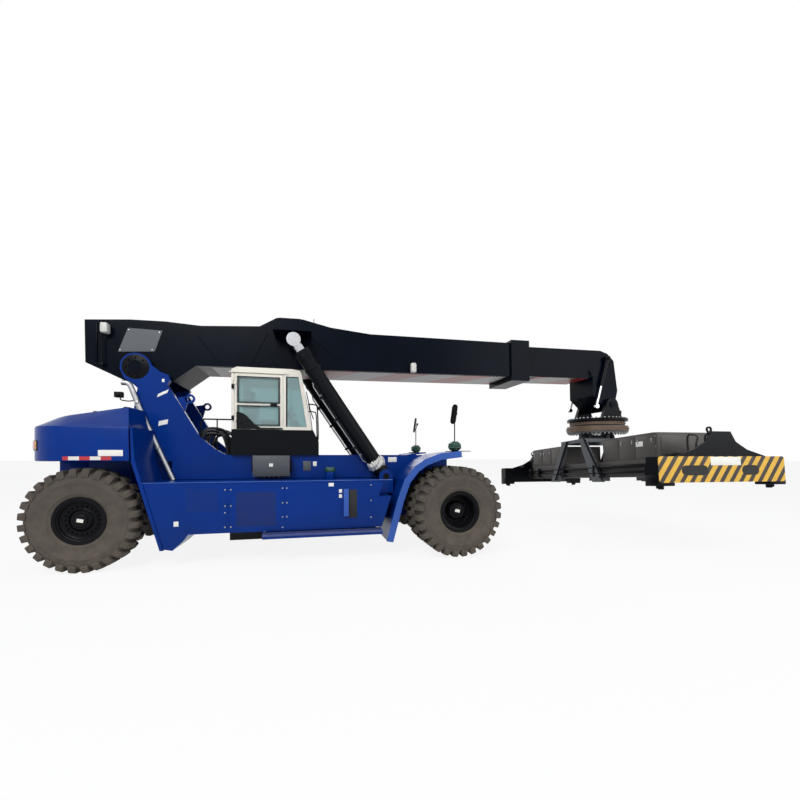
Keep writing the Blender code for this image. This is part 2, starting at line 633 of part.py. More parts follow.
# ---------------------------------------------------------------- boom
BOOM_LINE = [
    (BOOM_REAR, 0.083), (-0.174, -0.257), (0.12, -0.30), (0.55, -0.22), (0.95, BOOM_BOTTOM),
    (BOOM_FRONT - 0.2, BOOM_BOTTOM), (BOOM_FRONT - 0.2, BOOM_TOP), (4.28, 0.865), (3.465, 0.955),
    (2.92, 1.085),
    (2.42, 1.085), (2.10, 0.90), (1.05, BOOM_TOP), (0.44, 0.89), (-0.12, 0.89), (BOOM_REAR, 0.845),
]
TUNNEL = ((BOOM_REAR - 1.0, -BOOM_HALF + BOOM_WALL, BOOM_BOTTOM + BOOM_WALL),
          (BOOM_FRONT + 1.0, BOOM_HALF - BOOM_WALL, BOOM_TOP - BOOM_WALL))
boom_add = [
    # lift bracket across the top, carrying the two cylinder eyes
    boom_mesh(slab_mesh("wings", [(2.38, 0.70), (3.08, 0.70), (3.02, 0.84), (2.88, 0.92), (2.50, 0.92),
                                  (2.40, 0.86)], -1.03, 1.03)),
    boom_mesh(box_mesh("collar", (BOOM_FRONT - 0.45, -BOOM_HALF - 0.05, BOOM_BOTTOM - 0.10),
                       (BOOM_FRONT, BOOM_HALF + 0.05, BOOM_TOP + 0.06))),
    boom_mesh(rod_mesh("pivot_pin", (0.0, -0.70, 0.0), (0.0, 0.70, 0.0), PIVOT_PIN_R, 32)),
]
for tag, s in SIDES:
    lo, hi = ys(s, BOOM_HALF - 0.01, LIFT_Y - 0.12)
    boom_add.append(boom_mesh(rod_mesh("eye_boss", (LIFT_EYE[0], lo, LIFT_EYE[1]),
                                       (LIFT_EYE[0], hi, LIFT_EYE[1]),
                                       0.13, 20)))
part(
    "outer_boom", "outer_boom", boom_mesh(slab_mesh("outer_boom", BOOM_LINE, -BOOM_HALF, BOOM_HALF)),
    "boom_paint",
    add=boom_add,
    cut=[
        boom_mesh(box_mesh("tunnel", (BOOM_REAR - 1.0, -BOOM_HALF + BOOM_WALL, BOOM_BOTTOM + BOOM_WALL),
                           (BOOM_FRONT - 0.35, BOOM_HALF - BOOM_WALL, BOOM_TOP - BOOM_WALL))),
        boom_mesh(box_mesh("mouth", (BOOM_FRONT - 0.60, -INNER_HALF - GAP, INNER_BOTTOM - GAP),
                           (BOOM_FRONT + 0.50, INNER_HALF + GAP, INNER_TOP + GAP))),
    ],
)
HX, HZ = HEAD_PIN
to_boom = BOOM_WORLD.inverted()
head_local = to_boom @ Vector((HX, 0.0, HZ))
HL = (head_local.x, head_local.z)
NOSE_LINE = [
    (9.72, INNER_BOTTOM + 0.05), (HL[0] - 0.46, HL[1] + 0.22)] + arc(HL, 0.15, 215, 350, 8) + [
    (HL[0] + 0.24, HL[1] + 0.35), (HL[0] + 0.14, HL[1] + 1.08), (HL[0] - 0.04, HL[1] + 1.25),
    (HL[0] - 0.24, INNER_TOP), (9.30, INNER_TOP)]
part(
    "inner_boom", "inner_boom",
    boom_mesh(box_mesh("inner_boom", (INNER_TAIL, -INNER_HALF, INNER_BOTTOM),
                       (9.60, INNER_HALF, INNER_TOP))),
    "boom_paint",
    add=[
        boom_mesh(slab_mesh("nose", NOSE_LINE, -INNER_HALF, INNER_HALF)),
        rod_mesh("head_pin", (HX, -0.56, HZ), (HX, 0.56, HZ), HEAD_PIN_R, 32),
        rod_mesh("damper_pin", (DAMP_TOP[0], -0.56, DAMP_TOP[1]), (DAMP_TOP[0], 0.56, DAMP_TOP[1]), 0.035,
                 24),
    ],
    cut=[boom_mesh(box_mesh("core", (INNER_TAIL - 0.2, -INNER_HALF + 0.03, INNER_BOTTOM + 0.03),
                            (9.30, INNER_HALF - 0.03, INNER_TOP - 0.03)))],
)

# ---------------------------------------------------------------- lift cylinders
lift_run = Vector((EYE_WORLD[0] - FOOT_X, 0.0, EYE_WORLD[1] - FOOT_Z))
LIFT_LEN = lift_run.length
LIFT_DIR = lift_run.normalized()


def along(start_xz, direction, distance, y):
    return (start_xz[0] + direction.x * distance, y, start_xz[1] + direction.z * distance)


BARREL_TOP = LIFT_LEN - 0.28
for tag, s in SIDES:
    y = s * LIFT_Y
    part(
        f"lift_barrel_{tag}", "lift_barrels",
        rod_mesh("barrel", along(LIFT_FOOT, LIFT_DIR, 0.10, y), along(LIFT_FOOT, LIFT_DIR, BARREL_TOP, y),
                 LIFT_BARREL_R, 28),
        "black_paint",
        add=[
            cross_rod("foot_eye", s, FOOT_X, FOOT_Z, LIFT_Y - 0.11, LIFT_Y + 0.11, 0.13, 24),
            cross_rod("foot_pin", s, FOOT_X, FOOT_Z, 0.56, 1.10, 0.060, 32),
            rod_mesh("gland", along(LIFT_FOOT, LIFT_DIR, BARREL_TOP - 0.14, y),
                     along(LIFT_FOOT, LIFT_DIR, BARREL_TOP + 0.03, y), LIFT_BARREL_R + 0.012, 28),
        ],
        cut=[rod_mesh("bore", along(LIFT_FOOT, LIFT_DIR, 0.22, y),
                      along(LIFT_FOOT, LIFT_DIR, BARREL_TOP + 0.3, y),
                      LIFT_ROD_R + 0.0012, 32)],
    )
    part(
        f"lift_rod_{tag}", "lift_rods",
        rod_mesh("rod", along(LIFT_FOOT, LIFT_DIR, 0.26, y), along(LIFT_FOOT, LIFT_DIR, LIFT_LEN, y),
                 LIFT_ROD_R, 24),
        "steel",
        add=[cross_rod("rod_eye", s, EYE_WORLD[0], EYE_WORLD[1], LIFT_Y - 0.11, LIFT_Y + 0.11, 0.13, 24)],
    )

# ---------------------------------------------------------------- head: yoke and damping cylinders
damp_run = Vector((DAMP_EYE[0] - DAMP_TOP[0], 0.0, DAMP_EYE[1] - DAMP_TOP[1]))
DAMP_LEN = damp_run.length
DAMP_DIR = damp_run.normalized()
for tag, s in SIDES:
    y = s * DAMP_Y
    part(
        f"damper_barrel_{tag}", "damper_barrels",
        rod_mesh("barrel", along(DAMP_TOP, DAMP_DIR, 0.0, y),
                 along(DAMP_TOP, DAMP_DIR, DAMP_LEN * 0.58, y), 0.045, 20),
        "black_paint",
        add=[cross_rod("eye", s, DAMP_TOP[0], DAMP_TOP[1], DAMP_Y - 0.04, DAMP_Y + 0.04, 0.07, 20)],
        cut=[
            cross_rod("pin_bore", s, DAMP_TOP[0], DAMP_TOP[1], 0.40, 0.60, 0.0362, 24),
            rod_mesh("rod_bore", along(DAMP_TOP, DAMP_DIR, 0.12, y),
                     along(DAMP_TOP, DAMP_DIR, DAMP_LEN, y), 0.0262, 24),
        ],
    )
    part(
        f"damper_rod_{tag}", "damper_rods",
        rod_mesh("rod", along(DAMP_TOP, DAMP_DIR, 0.54, y), along(DAMP_TOP, DAMP_DIR, DAMP_LEN, y), 0.025,
                 20),
        "steel",
        add=[cross_rod("eye", s, DAMP_EYE[0], DAMP_EYE[1], DAMP_Y - 0.03, DAMP_Y + 0.03, 0.05, 20)],
    )
CHEEK = arc(HEAD_PIN, 0.16, 0, 180, 10) + [(HX - 0.30, 2.67), (HX + 0.30, 2.67)]
yoke_add = []
yoke_cut = []
for tag, s in SIDES:
    yoke_add.append(side_slab("cheek", s, CHEEK, 0.445, 0.535))
    yoke_cut.append(cross_rod("head_bore", s, HX, HZ, 0.40, 0.70, HEAD_PIN_R + 0.0012, 32))
yoke_add.append(rod_mesh("upper_race", (HX, 0.0, 2.54), (HX, 0.0, 2.67), RING_R - 0.08, 32))
yoke_add.append(rod_mesh("swing_motor", (HX + 0.56, 0.0, 2.70), (HX + 0.56, 0.0, 3.02), 0.10, 16))
part(
    "rotator_yoke", "rotator_yoke", rod_mesh("base_plate", (HX, 0.0, 2.66), (HX, 0.0, 2.72), RING_R, 40),
    "black_paint", add=yoke_add, cut=yoke_cut,
)

# ---------------------------------------------------------------- turntable and side-shift carriage
turntable_add = [slew_mesh(rod_mesh("slope_pin", (-0.46, 0.0, 0.0), (0.46, 0.0, 0.0), 0.06, 32))]
for x in (-0.25, 0.25):
    turntable_add.append(slew_mesh(box_mesh("lug", (x - 0.05, -0.10, -0.07), (x + 0.05, 0.10, 0.12))))
part(
    "turntable", "turntable",
    rod_mesh("turntable", (HX, 0.0, SLOPE_PIN_Z + 0.10), (HX, 0.0, 2.54 - GAP), RING_R, 40),
    "grey_paint", add=turntable_add,
)
carriage_add = []
carriage_cut = []
LEG = [(0.28, -0.10), (0.46, -0.10), (1.04, -1.13), (0.70, -1.13), (0.34, -0.32)]
for x in (-1.0, 1.0):
    lo, hi = min(x * 0.36, x * 0.44), max(x * 0.36, x * 0.44)
    ear = arc((0.0, 0.0), 0.10, 0, 180, 8) + [(-0.16, -0.12), (0.16, -0.12)]
    carriage_add.append(slope_mesh(slab_mesh("ear", ear, lo, hi, "yz")))
    lo, hi = min(x * 0.62, x * 0.69), max(x * 0.62, x * 0.69)
    for y in (-1.0, 1.0):
        leg = [(y * a, b) for a, b in (LEG if y > 0 else reversed(LEG))]
        carriage_add.append(slope_mesh(slab_mesh("leg", leg, lo, hi, "yz")))
        foot_lo, foot_hi = min(x * 0.45, x * 0.68), max(x * 0.45, x * 0.68)
        shoe_lo, shoe_hi = min(y * 0.74, y * 0.99), max(y * 0.74, y * 0.99)
        carriage_add.append(slope_mesh(box_mesh(
            "shoe", (foot_lo, shoe_lo, GIRDER_BOTTOM - 0.08), (foot_hi, shoe_hi, GIRDER_BOTTOM - GAP))))
carriage_cut.append(slope_mesh(rod_mesh("bore", (-0.6, 0.0, 0.0), (0.6, 0.0, 0.0), 0.0612, 32)))
part(
    "sideshift_carriage", "sideshift_carriage",
    slope_mesh(box_mesh("carriage", (-0.70, -0.48, -0.165), (0.70, 0.48, -0.08))),
    "grey_paint", add=carriage_add, cut=carriage_cut,
)

# ---------------------------------------------------------------- spreader main frame and end beams
main_add = []
for y in (-1.0, 1.0):
    lo, hi = min(y * 0.81, y * FRAME_HALF_Y), max(y * 0.81, y * FRAME_HALF_Y)
    main_add.append(frame_mesh(box_mesh("cabinet", (-0.58, lo, GIRDER_TOP - 0.01), (0.58, hi, -0.18))))
TUBES = (("right", -1.0), ("left", 1.0))
main_cut = []
for tag, s in TUBES:
    lo, hi = min(s * 0.03, s * 0.57), max(s * 0.03, s * 0.57)
    main_cut.append(frame_mesh(box_mesh(
        "tube", (lo, -FRAME_HALF_Y - 0.2, GIRDER_BOTTOM + 0.03),
        (hi, FRAME_HALF_Y + 0.2, GIRDER_TOP - 0.03))))
part(
    "spreader_frame", "spreader_frame",
    frame_mesh(box_mesh("main", (-FRAME_HALF_X, -FRAME_HALF_Y, GIRDER_BOTTOM),
                        (FRAME_HALF_X, FRAME_HALF_Y, GIRDER_TOP))),
    "grey_paint", add=main_add, cut=main_cut,
)
HUMP = [(-0.92, 0.50), (0.92, 0.50), (0.92, 0.57), (0.55, 0.68), (0.32, 0.82), (0.22, 1.00),
        (-0.18, 1.00),
        (-0.30, 0.82), (-0.55, 0.68), (-0.92, 0.57)]
for tag, s in TUBES:
    lo, hi = min(s * 0.032, s * 0.568), max(s * 0.032, s * 0.568)
    near, far = s * (TWIST_Y - 0.05), -s * (FRAME_HALF_Y - 0.10)
    beam_add = [
        frame_mesh(box_mesh("end_beam", (-1.29, min(s * 2.80, s * 3.05), TWIST_Z + 0.12),
                            (1.29, max(s * 2.80, s * 3.05), TWIST_Z + 0.56))),
    ]
    plate_lo, plate_hi = min(s * 3.02, s * 3.05), max(s * 3.02, s * 3.05)
    hump = [(a, TWIST_Z + b) for a, b in HUMP]
    beam_add.append(frame_mesh(slab_mesh("hump", hump, plate_lo, plate_hi, "xz")))
    for x in (-1.0, 1.0):
        bx = sorted((x * 1.02, x * 1.30))
        beam_add.append(frame_mesh(box_mesh(
            "corner_box", (bx[0], min(s * 2.78, s * 3.07), TWIST_Z + 0.06),
            (bx[1], max(s * 2.78, s * 3.07), TWIST_Z + 0.40))))
        beam_add.append(frame_mesh(rod_mesh(
            "twistlock", (x * TWIST_X, s * TWIST_Y, TWIST_Z), (x * TWIST_X, s * TWIST_Y, TWIST_Z + 0.20),
            0.045, 12)))
    part(
        f"end_beam_{tag}", f"end_beam_{tag}",
        frame_mesh(box_mesh("beam", (lo, min(near, far), GIRDER_BOTTOM + 0.03 + GAP),
                            (hi, max(near, far), GIRDER_TOP - 0.032))),
        "black_paint", add=beam_add,
    )

# ---------------------------------------------------------------- parenting
FRAME_SHIFT = SLOPE_WORLD @ Matrix.Translation((0.0, SPREADER_SHIFT, 0.0))
BODIES = {
    "chassis": None,
    "cab_door": ((HINGE_X, HINGE_Y, 2.30), "chassis"),
    "front_wheels_right": ((WHEELBASE, -1.58, AXLE_Z), "chassis"),
    "front_wheels_left": ((WHEELBASE, 1.58, AXLE_Z), "chassis"),
    "rear_knuckle_right": ((0.0, -KINGPIN_Y, AXLE_Z), "chassis"),
    "rear_knuckle_left": ((0.0, KINGPIN_Y, AXLE_Z), "chassis"),
    "rear_wheel_right": ((0.0, -REAR_TYRE_Y, AXLE_Z), "rear_knuckle_right"),
    "rear_wheel_left": ((0.0, REAR_TYRE_Y, AXLE_Z), "rear_knuckle_left"),
    "lift_barrels": ((FOOT_X, 0.0, FOOT_Z), "chassis"),
    "lift_rods": ((EYE_WORLD[0], 0.0, EYE_WORLD[1]), "lift_barrels"),
    "outer_boom": (PIVOT, "chassis"),
    "inner_boom": ((BOOM_WORLD @ Vector((BOOM_FRONT, 0.0, 0.465))), "outer_boom"),
    "damper_barrels": ((DAMP_TOP[0], 0.0, DAMP_TOP[1]), "inner_boom"),
    "damper_rods": ((DAMP_EYE[0], 0.0, DAMP_EYE[1]), "damper_barrels"),
    "rotator_yoke": ((HX, 0.0, HZ), "inner_boom"),
    "turntable": ((HX, 0.0, 2.54), "rotator_yoke"),
    "sideshift_carriage": ((HX, 0.0, SLOPE_PIN_Z), "turntable"),
    "spreader_frame": (FRAME_SHIFT @ Vector((0.0, 0.0, 0.0)), "sideshift_carriage"),
    "end_beam_right": (FRAME_SHIFT @ Vector((0.0, -TWIST_Y, TWIST_Z)), "spreader_frame"),
    "end_beam_left": (FRAME_SHIFT @ Vector((0.0, TWIST_Y, TWIST_Z)), "spreader_frame"),
}
HOLDERS = {"chassis": ROOT}
for body, entry in BODIES.items():
    if entry is not None:
        place, parent = entry
        HOLDERS[body] = empty(f"{body}_joint", place, HOLDERS[parent])
bpy.data.objects.remove(BOOM, do_unlink=True)
for name, (obj, body) in NODES.items():
    holder = HOLDERS[body]
    obj.parent = holder
    obj.matrix_parent_inverse = FRAMES[holder.name].inverted()

# ---------------------------------------------------------------- base centre to the origin
bpy.context.view_layer.update()
graph = bpy.context.evaluated_depsgraph_get()
low = Vector((1e9, 1e9, 1e9))
high = Vector((-1e9, -1e9, -1e9))
for name, (obj, body) in NODES.items():
    shape = obj.evaluated_get(graph)
    for vertex in shape.data.vertices:
        point = shape.matrix_world @ vertex.co
        for axis in range(3):
            low[axis] = min(low[axis], point[axis])
            high[axis] = max(high[axis], point[axis])
ROOT.location = (-(low.x + high.x) / 2.0, -(low.y + high.y) / 2.0, -low.z)
bpy.context.view_layer.update()
print("size", [round(high[i] - low[i], 4) for i in range(3)])
for body, holder in HOLDERS.items():
    print("joint", body, [round(v, 5) for v in holder.matrix_world.translation])
print("root offset", [round(v, 5) for v in ROOT.location])
print("boom axis", [round(v, 5) for v in BOOM_WORLD.to_3x3() @ Vector((1.0, 0.0, 0.0))])
print("lift dir", [round(v, 5) for v in LIFT_DIR], round(LIFT_LEN, 4))
print("damper dir", [round(v, 5) for v in DAMP_DIR], round(DAMP_LEN, 4))
print("slope axis", [round(v, 5) for v in TURN_HEAD.to_3x3() @ Vector((1.0, 0.0, 0.0))])
print("shift axis", [round(v, 5) for v in TURN_SLOPE.to_3x3() @ Vector((0.0, -1.0, 0.0))])
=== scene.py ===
import json
from math import cos, hypot, pi, radians, sin

import bmesh
import bpy
from mathutils import Matrix, Vector


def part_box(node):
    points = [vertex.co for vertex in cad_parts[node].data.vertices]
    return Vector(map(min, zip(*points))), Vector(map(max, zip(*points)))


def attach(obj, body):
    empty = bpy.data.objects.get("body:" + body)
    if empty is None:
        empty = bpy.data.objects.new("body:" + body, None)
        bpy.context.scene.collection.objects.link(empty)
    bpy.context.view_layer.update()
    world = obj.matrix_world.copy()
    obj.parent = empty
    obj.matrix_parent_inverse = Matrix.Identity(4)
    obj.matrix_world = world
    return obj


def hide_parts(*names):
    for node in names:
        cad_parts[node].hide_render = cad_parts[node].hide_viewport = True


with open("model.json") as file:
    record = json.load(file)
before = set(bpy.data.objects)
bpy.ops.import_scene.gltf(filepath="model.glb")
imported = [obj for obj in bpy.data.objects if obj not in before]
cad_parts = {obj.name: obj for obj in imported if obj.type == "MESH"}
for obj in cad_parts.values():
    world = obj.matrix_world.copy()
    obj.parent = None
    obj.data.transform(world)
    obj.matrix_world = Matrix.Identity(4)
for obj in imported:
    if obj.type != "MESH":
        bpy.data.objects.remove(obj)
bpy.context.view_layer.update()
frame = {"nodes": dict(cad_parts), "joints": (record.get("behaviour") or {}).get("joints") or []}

# -------------------- camera: it looks along +Y, a little to +X
MACHINE_CAMERA = (3.423, -8.564, 1.811)      # rear axle at x 0, centre plane at y 0
CAMERA_TURN = 0.232

# -------------------- driving places, from the frame


def middle(node):
    low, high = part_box(node)
    return (Vector(low) + Vector(high)) / 2


JOINTS = {joint["name"]: joint for joint in frame["joints"]}
REAR_AXLE = (middle("rear_rim_right") + middle("rear_rim_left")) / 2
AXLE_Z = REAR_AXLE.z
TYRE_R = AXLE_Z
MACHINE = Matrix.Translation((REAR_AXLE.x, REAR_AXLE.y, 0.0))
BOOM_AXIS = Vector(JOINTS["boom_extend"]["axis"])
BOOM_UP = Vector((-BOOM_AXIS.z, 0.0, BOOM_AXIS.x))
ACROSS = Vector((0.0, 1.0, 0.0))


def axes(x_axis, y_axis, z_axis, origin):
    """The matrix of a local frame with these three directions."""
    turn = Matrix((x_axis, y_axis, z_axis)).transposed().to_4x4()
    return Matrix.Translation(origin) @ turn


BOOM = axes(BOOM_AXIS, ACROSS, BOOM_UP, Vector(JOINTS["boom_lift"]["pos_m"]))
SLOPE_X = Vector(JOINTS["spreader_tilt"]["axis"]).normalized()
SLOPE_Y = -Vector(JOINTS["side_shift"]["axis"]).normalized()
SPREADER_SHIFT = -0.16
SLOPE_AT = Vector(JOINTS["spreader_tilt"]["pos_m"])
SPREADER = axes(SLOPE_X, SLOPE_Y, SLOPE_X.cross(SLOPE_Y), SLOPE_AT + SLOPE_Y * SPREADER_SHIFT)
SIDES = (("right", -1.0), ("left", 1.0))

# -------------------- mesh tools


def block(bm, low, high, bevel=0.0, segments=2):
    """A box between two opposite corners, given in any order, its edges rounded."""
    low, high = (Vector(pick(pair) for pair in zip(low, high)) for pick in (min, max))
    solid = bmesh.new()
    bmesh.ops.create_cube(solid, size=1.0)
    bmesh.ops.scale(solid, vec=high - low, verts=solid.verts)
    bmesh.ops.translate(solid, vec=(high + low) / 2, verts=solid.verts)
    if bevel:
        bmesh.ops.bevel(solid, geom=solid.edges[:], offset=bevel, segments=segments, profile=0.5,
                        affect="EDGES", material=-1)
    return merge(bm, solid)


def rod(bm, start, end, radius, steps=16, radius_end=None, bevel=0.0):
    """A round bar between two points."""
    start, end = Vector(start), Vector(end)
    run = end - start
    solid = bmesh.new()
    bmesh.ops.create_cone(solid, cap_ends=True, segments=steps, radius1=radius,
                          radius2=radius if radius_end is None else radius_end, depth=run.length)
    if bevel:
        rims = [edge for edge in solid.edges if abs(edge.verts[0].co.z - edge.verts[1].co.z) < 1e-6]
        bmesh.ops.bevel(solid, geom=rims, offset=bevel, segments=2, profile=0.5, affect="EDGES",
                        material=-1)
    turn = Vector((0.0, 0.0, 1.0)).rotation_difference(run.normalized()).to_matrix().to_4x4()
    return merge(bm, solid, Matrix.Translation((start + end) / 2) @ turn)


def slab(bm, outline, low, high, plane="xz", bevel=0.0):
    """A flat outline thickened between two heights; plane xz grows along Y, xy along Z, yz along X."""
    low, high = sorted((low, high))
    solid = bmesh.new()
    place = {"xz": lambda a, b: (a, low, b),
             "xy": lambda a, b: (a, b, low),
             "yz": lambda a, b: (low, a, b)}[plane]
    face = solid.faces.new([solid.verts.new(place(a, b)) for a, b in outline])
    grown = bmesh.ops.extrude_face_region(solid, geom=[face])
    step = {"xz": (0, high - low, 0), "xy": (0, 0, high - low), "yz": (high - low, 0, 0)}[plane]
    verts = [item for item in grown["geom"] if isinstance(item, bmesh.types.BMVert)]
    bmesh.ops.translate(solid, vec=step, verts=verts)
    bmesh.ops.recalc_face_normals(solid, faces=solid.faces)
    if bevel:
        bmesh.ops.bevel(solid, geom=solid.edges[:], offset=bevel, segments=1, profile=0.5,
                        affect="EDGES", material=-1)
    return merge(bm, solid)


def spun(bm, profile, steps, place=None):
    """A profile of (radius, distance along Y) turned about the Y axis; a closed one makes a ring."""
    solid = bmesh.new()
    verts = [solid.verts.new((radius, y, 0.0)) for radius, y in profile]
    edges = [solid.edges.new(pair) for pair in zip(verts, verts[1:])]
    if profile[0][0] > 0 and profile[-1][0] > 0:
        edges.append(solid.edges.new((verts[-1], verts[0])))
    bmesh.ops.spin(solid, geom=verts + edges, cent=(0, 0, 0), axis=(0, 1, 0), angle=2 * pi, steps=steps,
                   use_merge=True)
    bmesh.ops.remove_doubles(solid, verts=solid.verts, dist=0.00005)
    bmesh.ops.recalc_face_normals(solid, faces=solid.faces)
    return merge(bm, solid, place)


def merge(bm, solid, place=None):
    """Adds one mesh to another and frees it."""
    if place is not None:
        bmesh.ops.transform(solid, matrix=place, verts=solid.verts)
    mesh = bpy.data.meshes.new("shape")
    solid.to_mesh(mesh)
    solid.free()
    bm.from_mesh(mesh)
    bpy.data.meshes.remove(mesh)
    return bm


def smooth_line(points, steps=8):
    """A dense line through the points, rounded like a hose."""
    points = [Vector(point) for point in points]
    ends = [points[0] * 2 - points[1]] + points + [points[-1] * 2 - points[-2]]
    line = []
    for before, start, end, after in zip(ends, ends[1:], ends[2:], ends[3:]):
        for step in range(steps):
            t = step / steps
            line.append(0.5 * (2 * start + (end - before) * t
                               + (2 * before - 5 * start + 4 * end - after) * t ** 2
                               + (3 * start - before - 3 * end + after) * t ** 3))
    return line + [points[-1]]


def tube(bm, points, radius, steps=10, rounded=True):
    """A bent round tube that follows the points."""
    line = smooth_line(points) if rounded else [Vector(point) for point in points]
    rings = []
    solid = bmesh.new()
    across = (line[1] - line[0]).orthogonal().normalized()
    for index, point in enumerate(line):
        run = (line[min(index + 1, len(line) - 1)] - line[max(index - 1, 0)]).normalized()
        across = (across - run * across.dot(run)).normalized()
        other = run.cross(across)
        turns = [2 * pi * k / steps for k in range(steps)]
        ring = [solid.verts.new(point + (across * cos(turn) + other * sin(turn)) * radius) for turn in turns]
        rings.append([solid.edges.new((ring[k], ring[(k + 1) % steps])) for k in range(steps)])
        if index in (0, len(line) - 1):
            solid.faces.new(ring)
    for ring, following in zip(rings, rings[1:]):
        bmesh.ops.bridge_loops(solid, edges=ring + following)
    bmesh.ops.recalc_face_normals(solid, faces=solid.faces)
    return merge(bm, solid)


def wrapping(size, fold, crease, along=0.0):
    """A ball of tape or film pulled to a size, with broad folds and fine creases."""
    bm = bmesh.new()
    bmesh.ops.create_icosphere(bm, subdivisions=4, radius=1.0)
    depth, by_x, by_z, by_y = fold
    for vert in bm.verts:
        x, y, z = vert.co
        wave = 1 + depth * sin(by_x * x + by_z * z) * cos(by_y * y) + crease[0] * sin(crease[1] * z)
        vert.co = Vector((x * size[0] * wave + along, y * size[1] * wave, z * size[2] * wave))
    return bm


def arc(centre, radius, start, end, count):
    """Points on an arc, angles in degrees."""
    steps = [radians(start + (end - start) * k / count) for k in range(count + 1)]
    return [(centre[0] + radius * cos(a), centre[1] + radius * sin(a)) for a in steps]


def panel(bm, left, right, low, high, near, far, bevel=0.0):
    """A plate that runs along the machine between two distances from the centre plane."""
    return block(bm, (left, near, low), (right, far, high), bevel)


def beside(line, distance):
    """The line moved to its right."""
    moved = []
    for index, point in enumerate(line):
        before, after = line[max(index - 1, 0)], line[min(index + 1, len(line) - 1)]
        run = hypot(after[0] - before[0], after[1] - before[1])
        moved.append((point[0] + distance * (after[1] - before[1]) / run,
                      point[1] - distance * (after[0] - before[0]) / run))
    return moved


def bolts(bm, places, radius=0.012, height=0.010, direction=(0, -1, 0), steps=6):
    """Hexagon heads that stand on a surface along a direction."""
    for place in places:
        start = Vector(place)
        rod(bm, start, start + Vector(direction) * height, radius, steps)
    return bm


def piece(name, bm, material, body, place=MACHINE, crease=32, chart=None):
    """Makes a finished piece in the row frame: chart gives flat pattern coordinates in metres."""
    if chart:
        layer = bm.loops.layers.uv.new("pattern")
        for face in bm.faces:
            for loop in face.loops:
                loop[layer].uv = chart(loop.vert.co)
    bmesh.ops.transform(bm, matrix=place, verts=bm.verts)
    mesh = bpy.data.meshes.new(name)
    bm.to_mesh(mesh)
    bm.free()
    mesh.materials.append(material)
    mesh.polygons.foreach_set("use_smooth", [True] * len(mesh.polygons))
    mesh.set_sharp_from_angle(angle=radians(crease))
    obj = bpy.data.objects.new(name, mesh)
    bpy.context.scene.collection.objects.link(obj)
    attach(obj, body)
    return obj


def plates(name, material, body, rows, near, far, bevel=0.0):
    """A piece of plates between two distances from the centre plane; rows are left, right, low, high."""
    bm = bmesh.new()
    for row in rows:
        panel(bm, *row, near, far, bevel)
    return piece(name, bm, material, body)


# -------------------- material tools


def linear(code, alpha=1.0):
    """An sRGB hex colour as linear values."""
    values = [int(code[k:k + 2], 16) / 255 for k in (1, 3, 5)]
    return (*[v / 12.92 if v <= 0.04045 else ((v + 0.055) / 1.055) ** 2.4 for v in values], alpha)


def add(tree, kind, inputs=(), links=(), **settings):
    """Adds one node with its settings, input values and links."""
    made = tree.nodes.new(kind)
    for name, value in settings.items():
        setattr(made, name, value)
    for name, value in dict(inputs).items():
        made.inputs[name].default_value = value
    for name, source in dict(links).items():
        tree.links.new(source, made.inputs[name])
    return made


def blank(name):
    material = bpy.data.materials.new(name)
    material.use_nodes = True
    tree = material.node_tree
    shader = tree.nodes["Principled BSDF"]
    return material, tree, shader


def finish(name, colour, other=None, patch_mm=900, amount=0.5, rough=(0.3, 0.4), metallic=0.0, coat=0.0,
           grain_mm=40, grain=0.02, dust=None, dust_low=0.2, dust_high=1.6, fine_mm=6, specular=0.5,
           film=0.55):
    """A painted, cast or moulded surface: two tones, uneven gloss, fine grain and dust low down."""
    material, tree, shader = blank(name)
    where = add(tree, "ShaderNodeTexCoord").outputs["Object"]
    patches = add(tree, "ShaderNodeTexNoise", {"Scale": 1000 / patch_mm, "Detail": 5.0, "Roughness": 0.6},
                  {"Vector": where})
    spread = add(tree, "ShaderNodeMapRange", {"From Min": 0.35, "From Max": 0.65, "To Max": amount},
                 {"Value": patches.outputs["Fac"]})
    tone = add(tree, "ShaderNodeMix", {6: linear(colour), 7: linear(other or colour)},
               {0: spread.outputs[0]}, data_type="RGBA")
    shade = tone.outputs[2]
    if dust:
        height = add(tree, "ShaderNodeSeparateXYZ", links={0: where}).outputs["Z"]
        low = add(tree, "ShaderNodeMapRange", {"From Min": dust_low, "From Max": dust_high,
                                               "To Min": film,
                                               "To Max": 0.02}, {"Value": height})
        speck = add(tree, "ShaderNodeTexNoise", {"Scale": 1000 / 120, "Detail": 8.0}, {"Vector": where})
        mask = add(tree, "ShaderNodeMath", links={0: low.outputs[0], 1: speck.outputs["Fac"]},
                   operation="MULTIPLY")
        shade = add(tree, "ShaderNodeMix", {7: linear(dust)}, {0: mask.outputs[0], 6: shade},
                    data_type="RGBA").outputs[2]
    gloss = add(tree, "ShaderNodeTexNoise", {"Scale": 1000 / (patch_mm / 3), "Detail": 3.0},
                {"Vector": where})
    dull = add(tree, "ShaderNodeMapRange", {"To Min": rough[0], "To Max": rough[1]},
               {"Value": gloss.outputs["Fac"]})
    fine = add(tree, "ShaderNodeTexNoise", {"Scale": 1000 / fine_mm, "Detail": 2.0}, {"Vector": where})
    soft = add(tree, "ShaderNodeTexNoise", {"Scale": 1000 / grain_mm, "Detail": 2.0}, {"Vector": where})
    both = add(tree, "ShaderNodeMath", links={0: fine.outputs["Fac"], 1: soft.outputs["Fac"]},
               operation="ADD")
    bump = add(tree, "ShaderNodeBump", {"Strength": grain, "Distance": 0.004},
               {"Height": both.outputs[0]})
    for socket, source in (("Base Color", shade), ("Roughness", dull.outputs[0]),
                           ("Normal", bump.outputs[0])):
        tree.links.new(source, shader.inputs[socket])
    shader.inputs["Metallic"].default_value = metallic
    shader.inputs["Coat Weight"].default_value = coat
    shader.inputs["Coat Roughness"].default_value = 0.12
    shader.inputs["Specular IOR Level"].default_value = specular
    return material


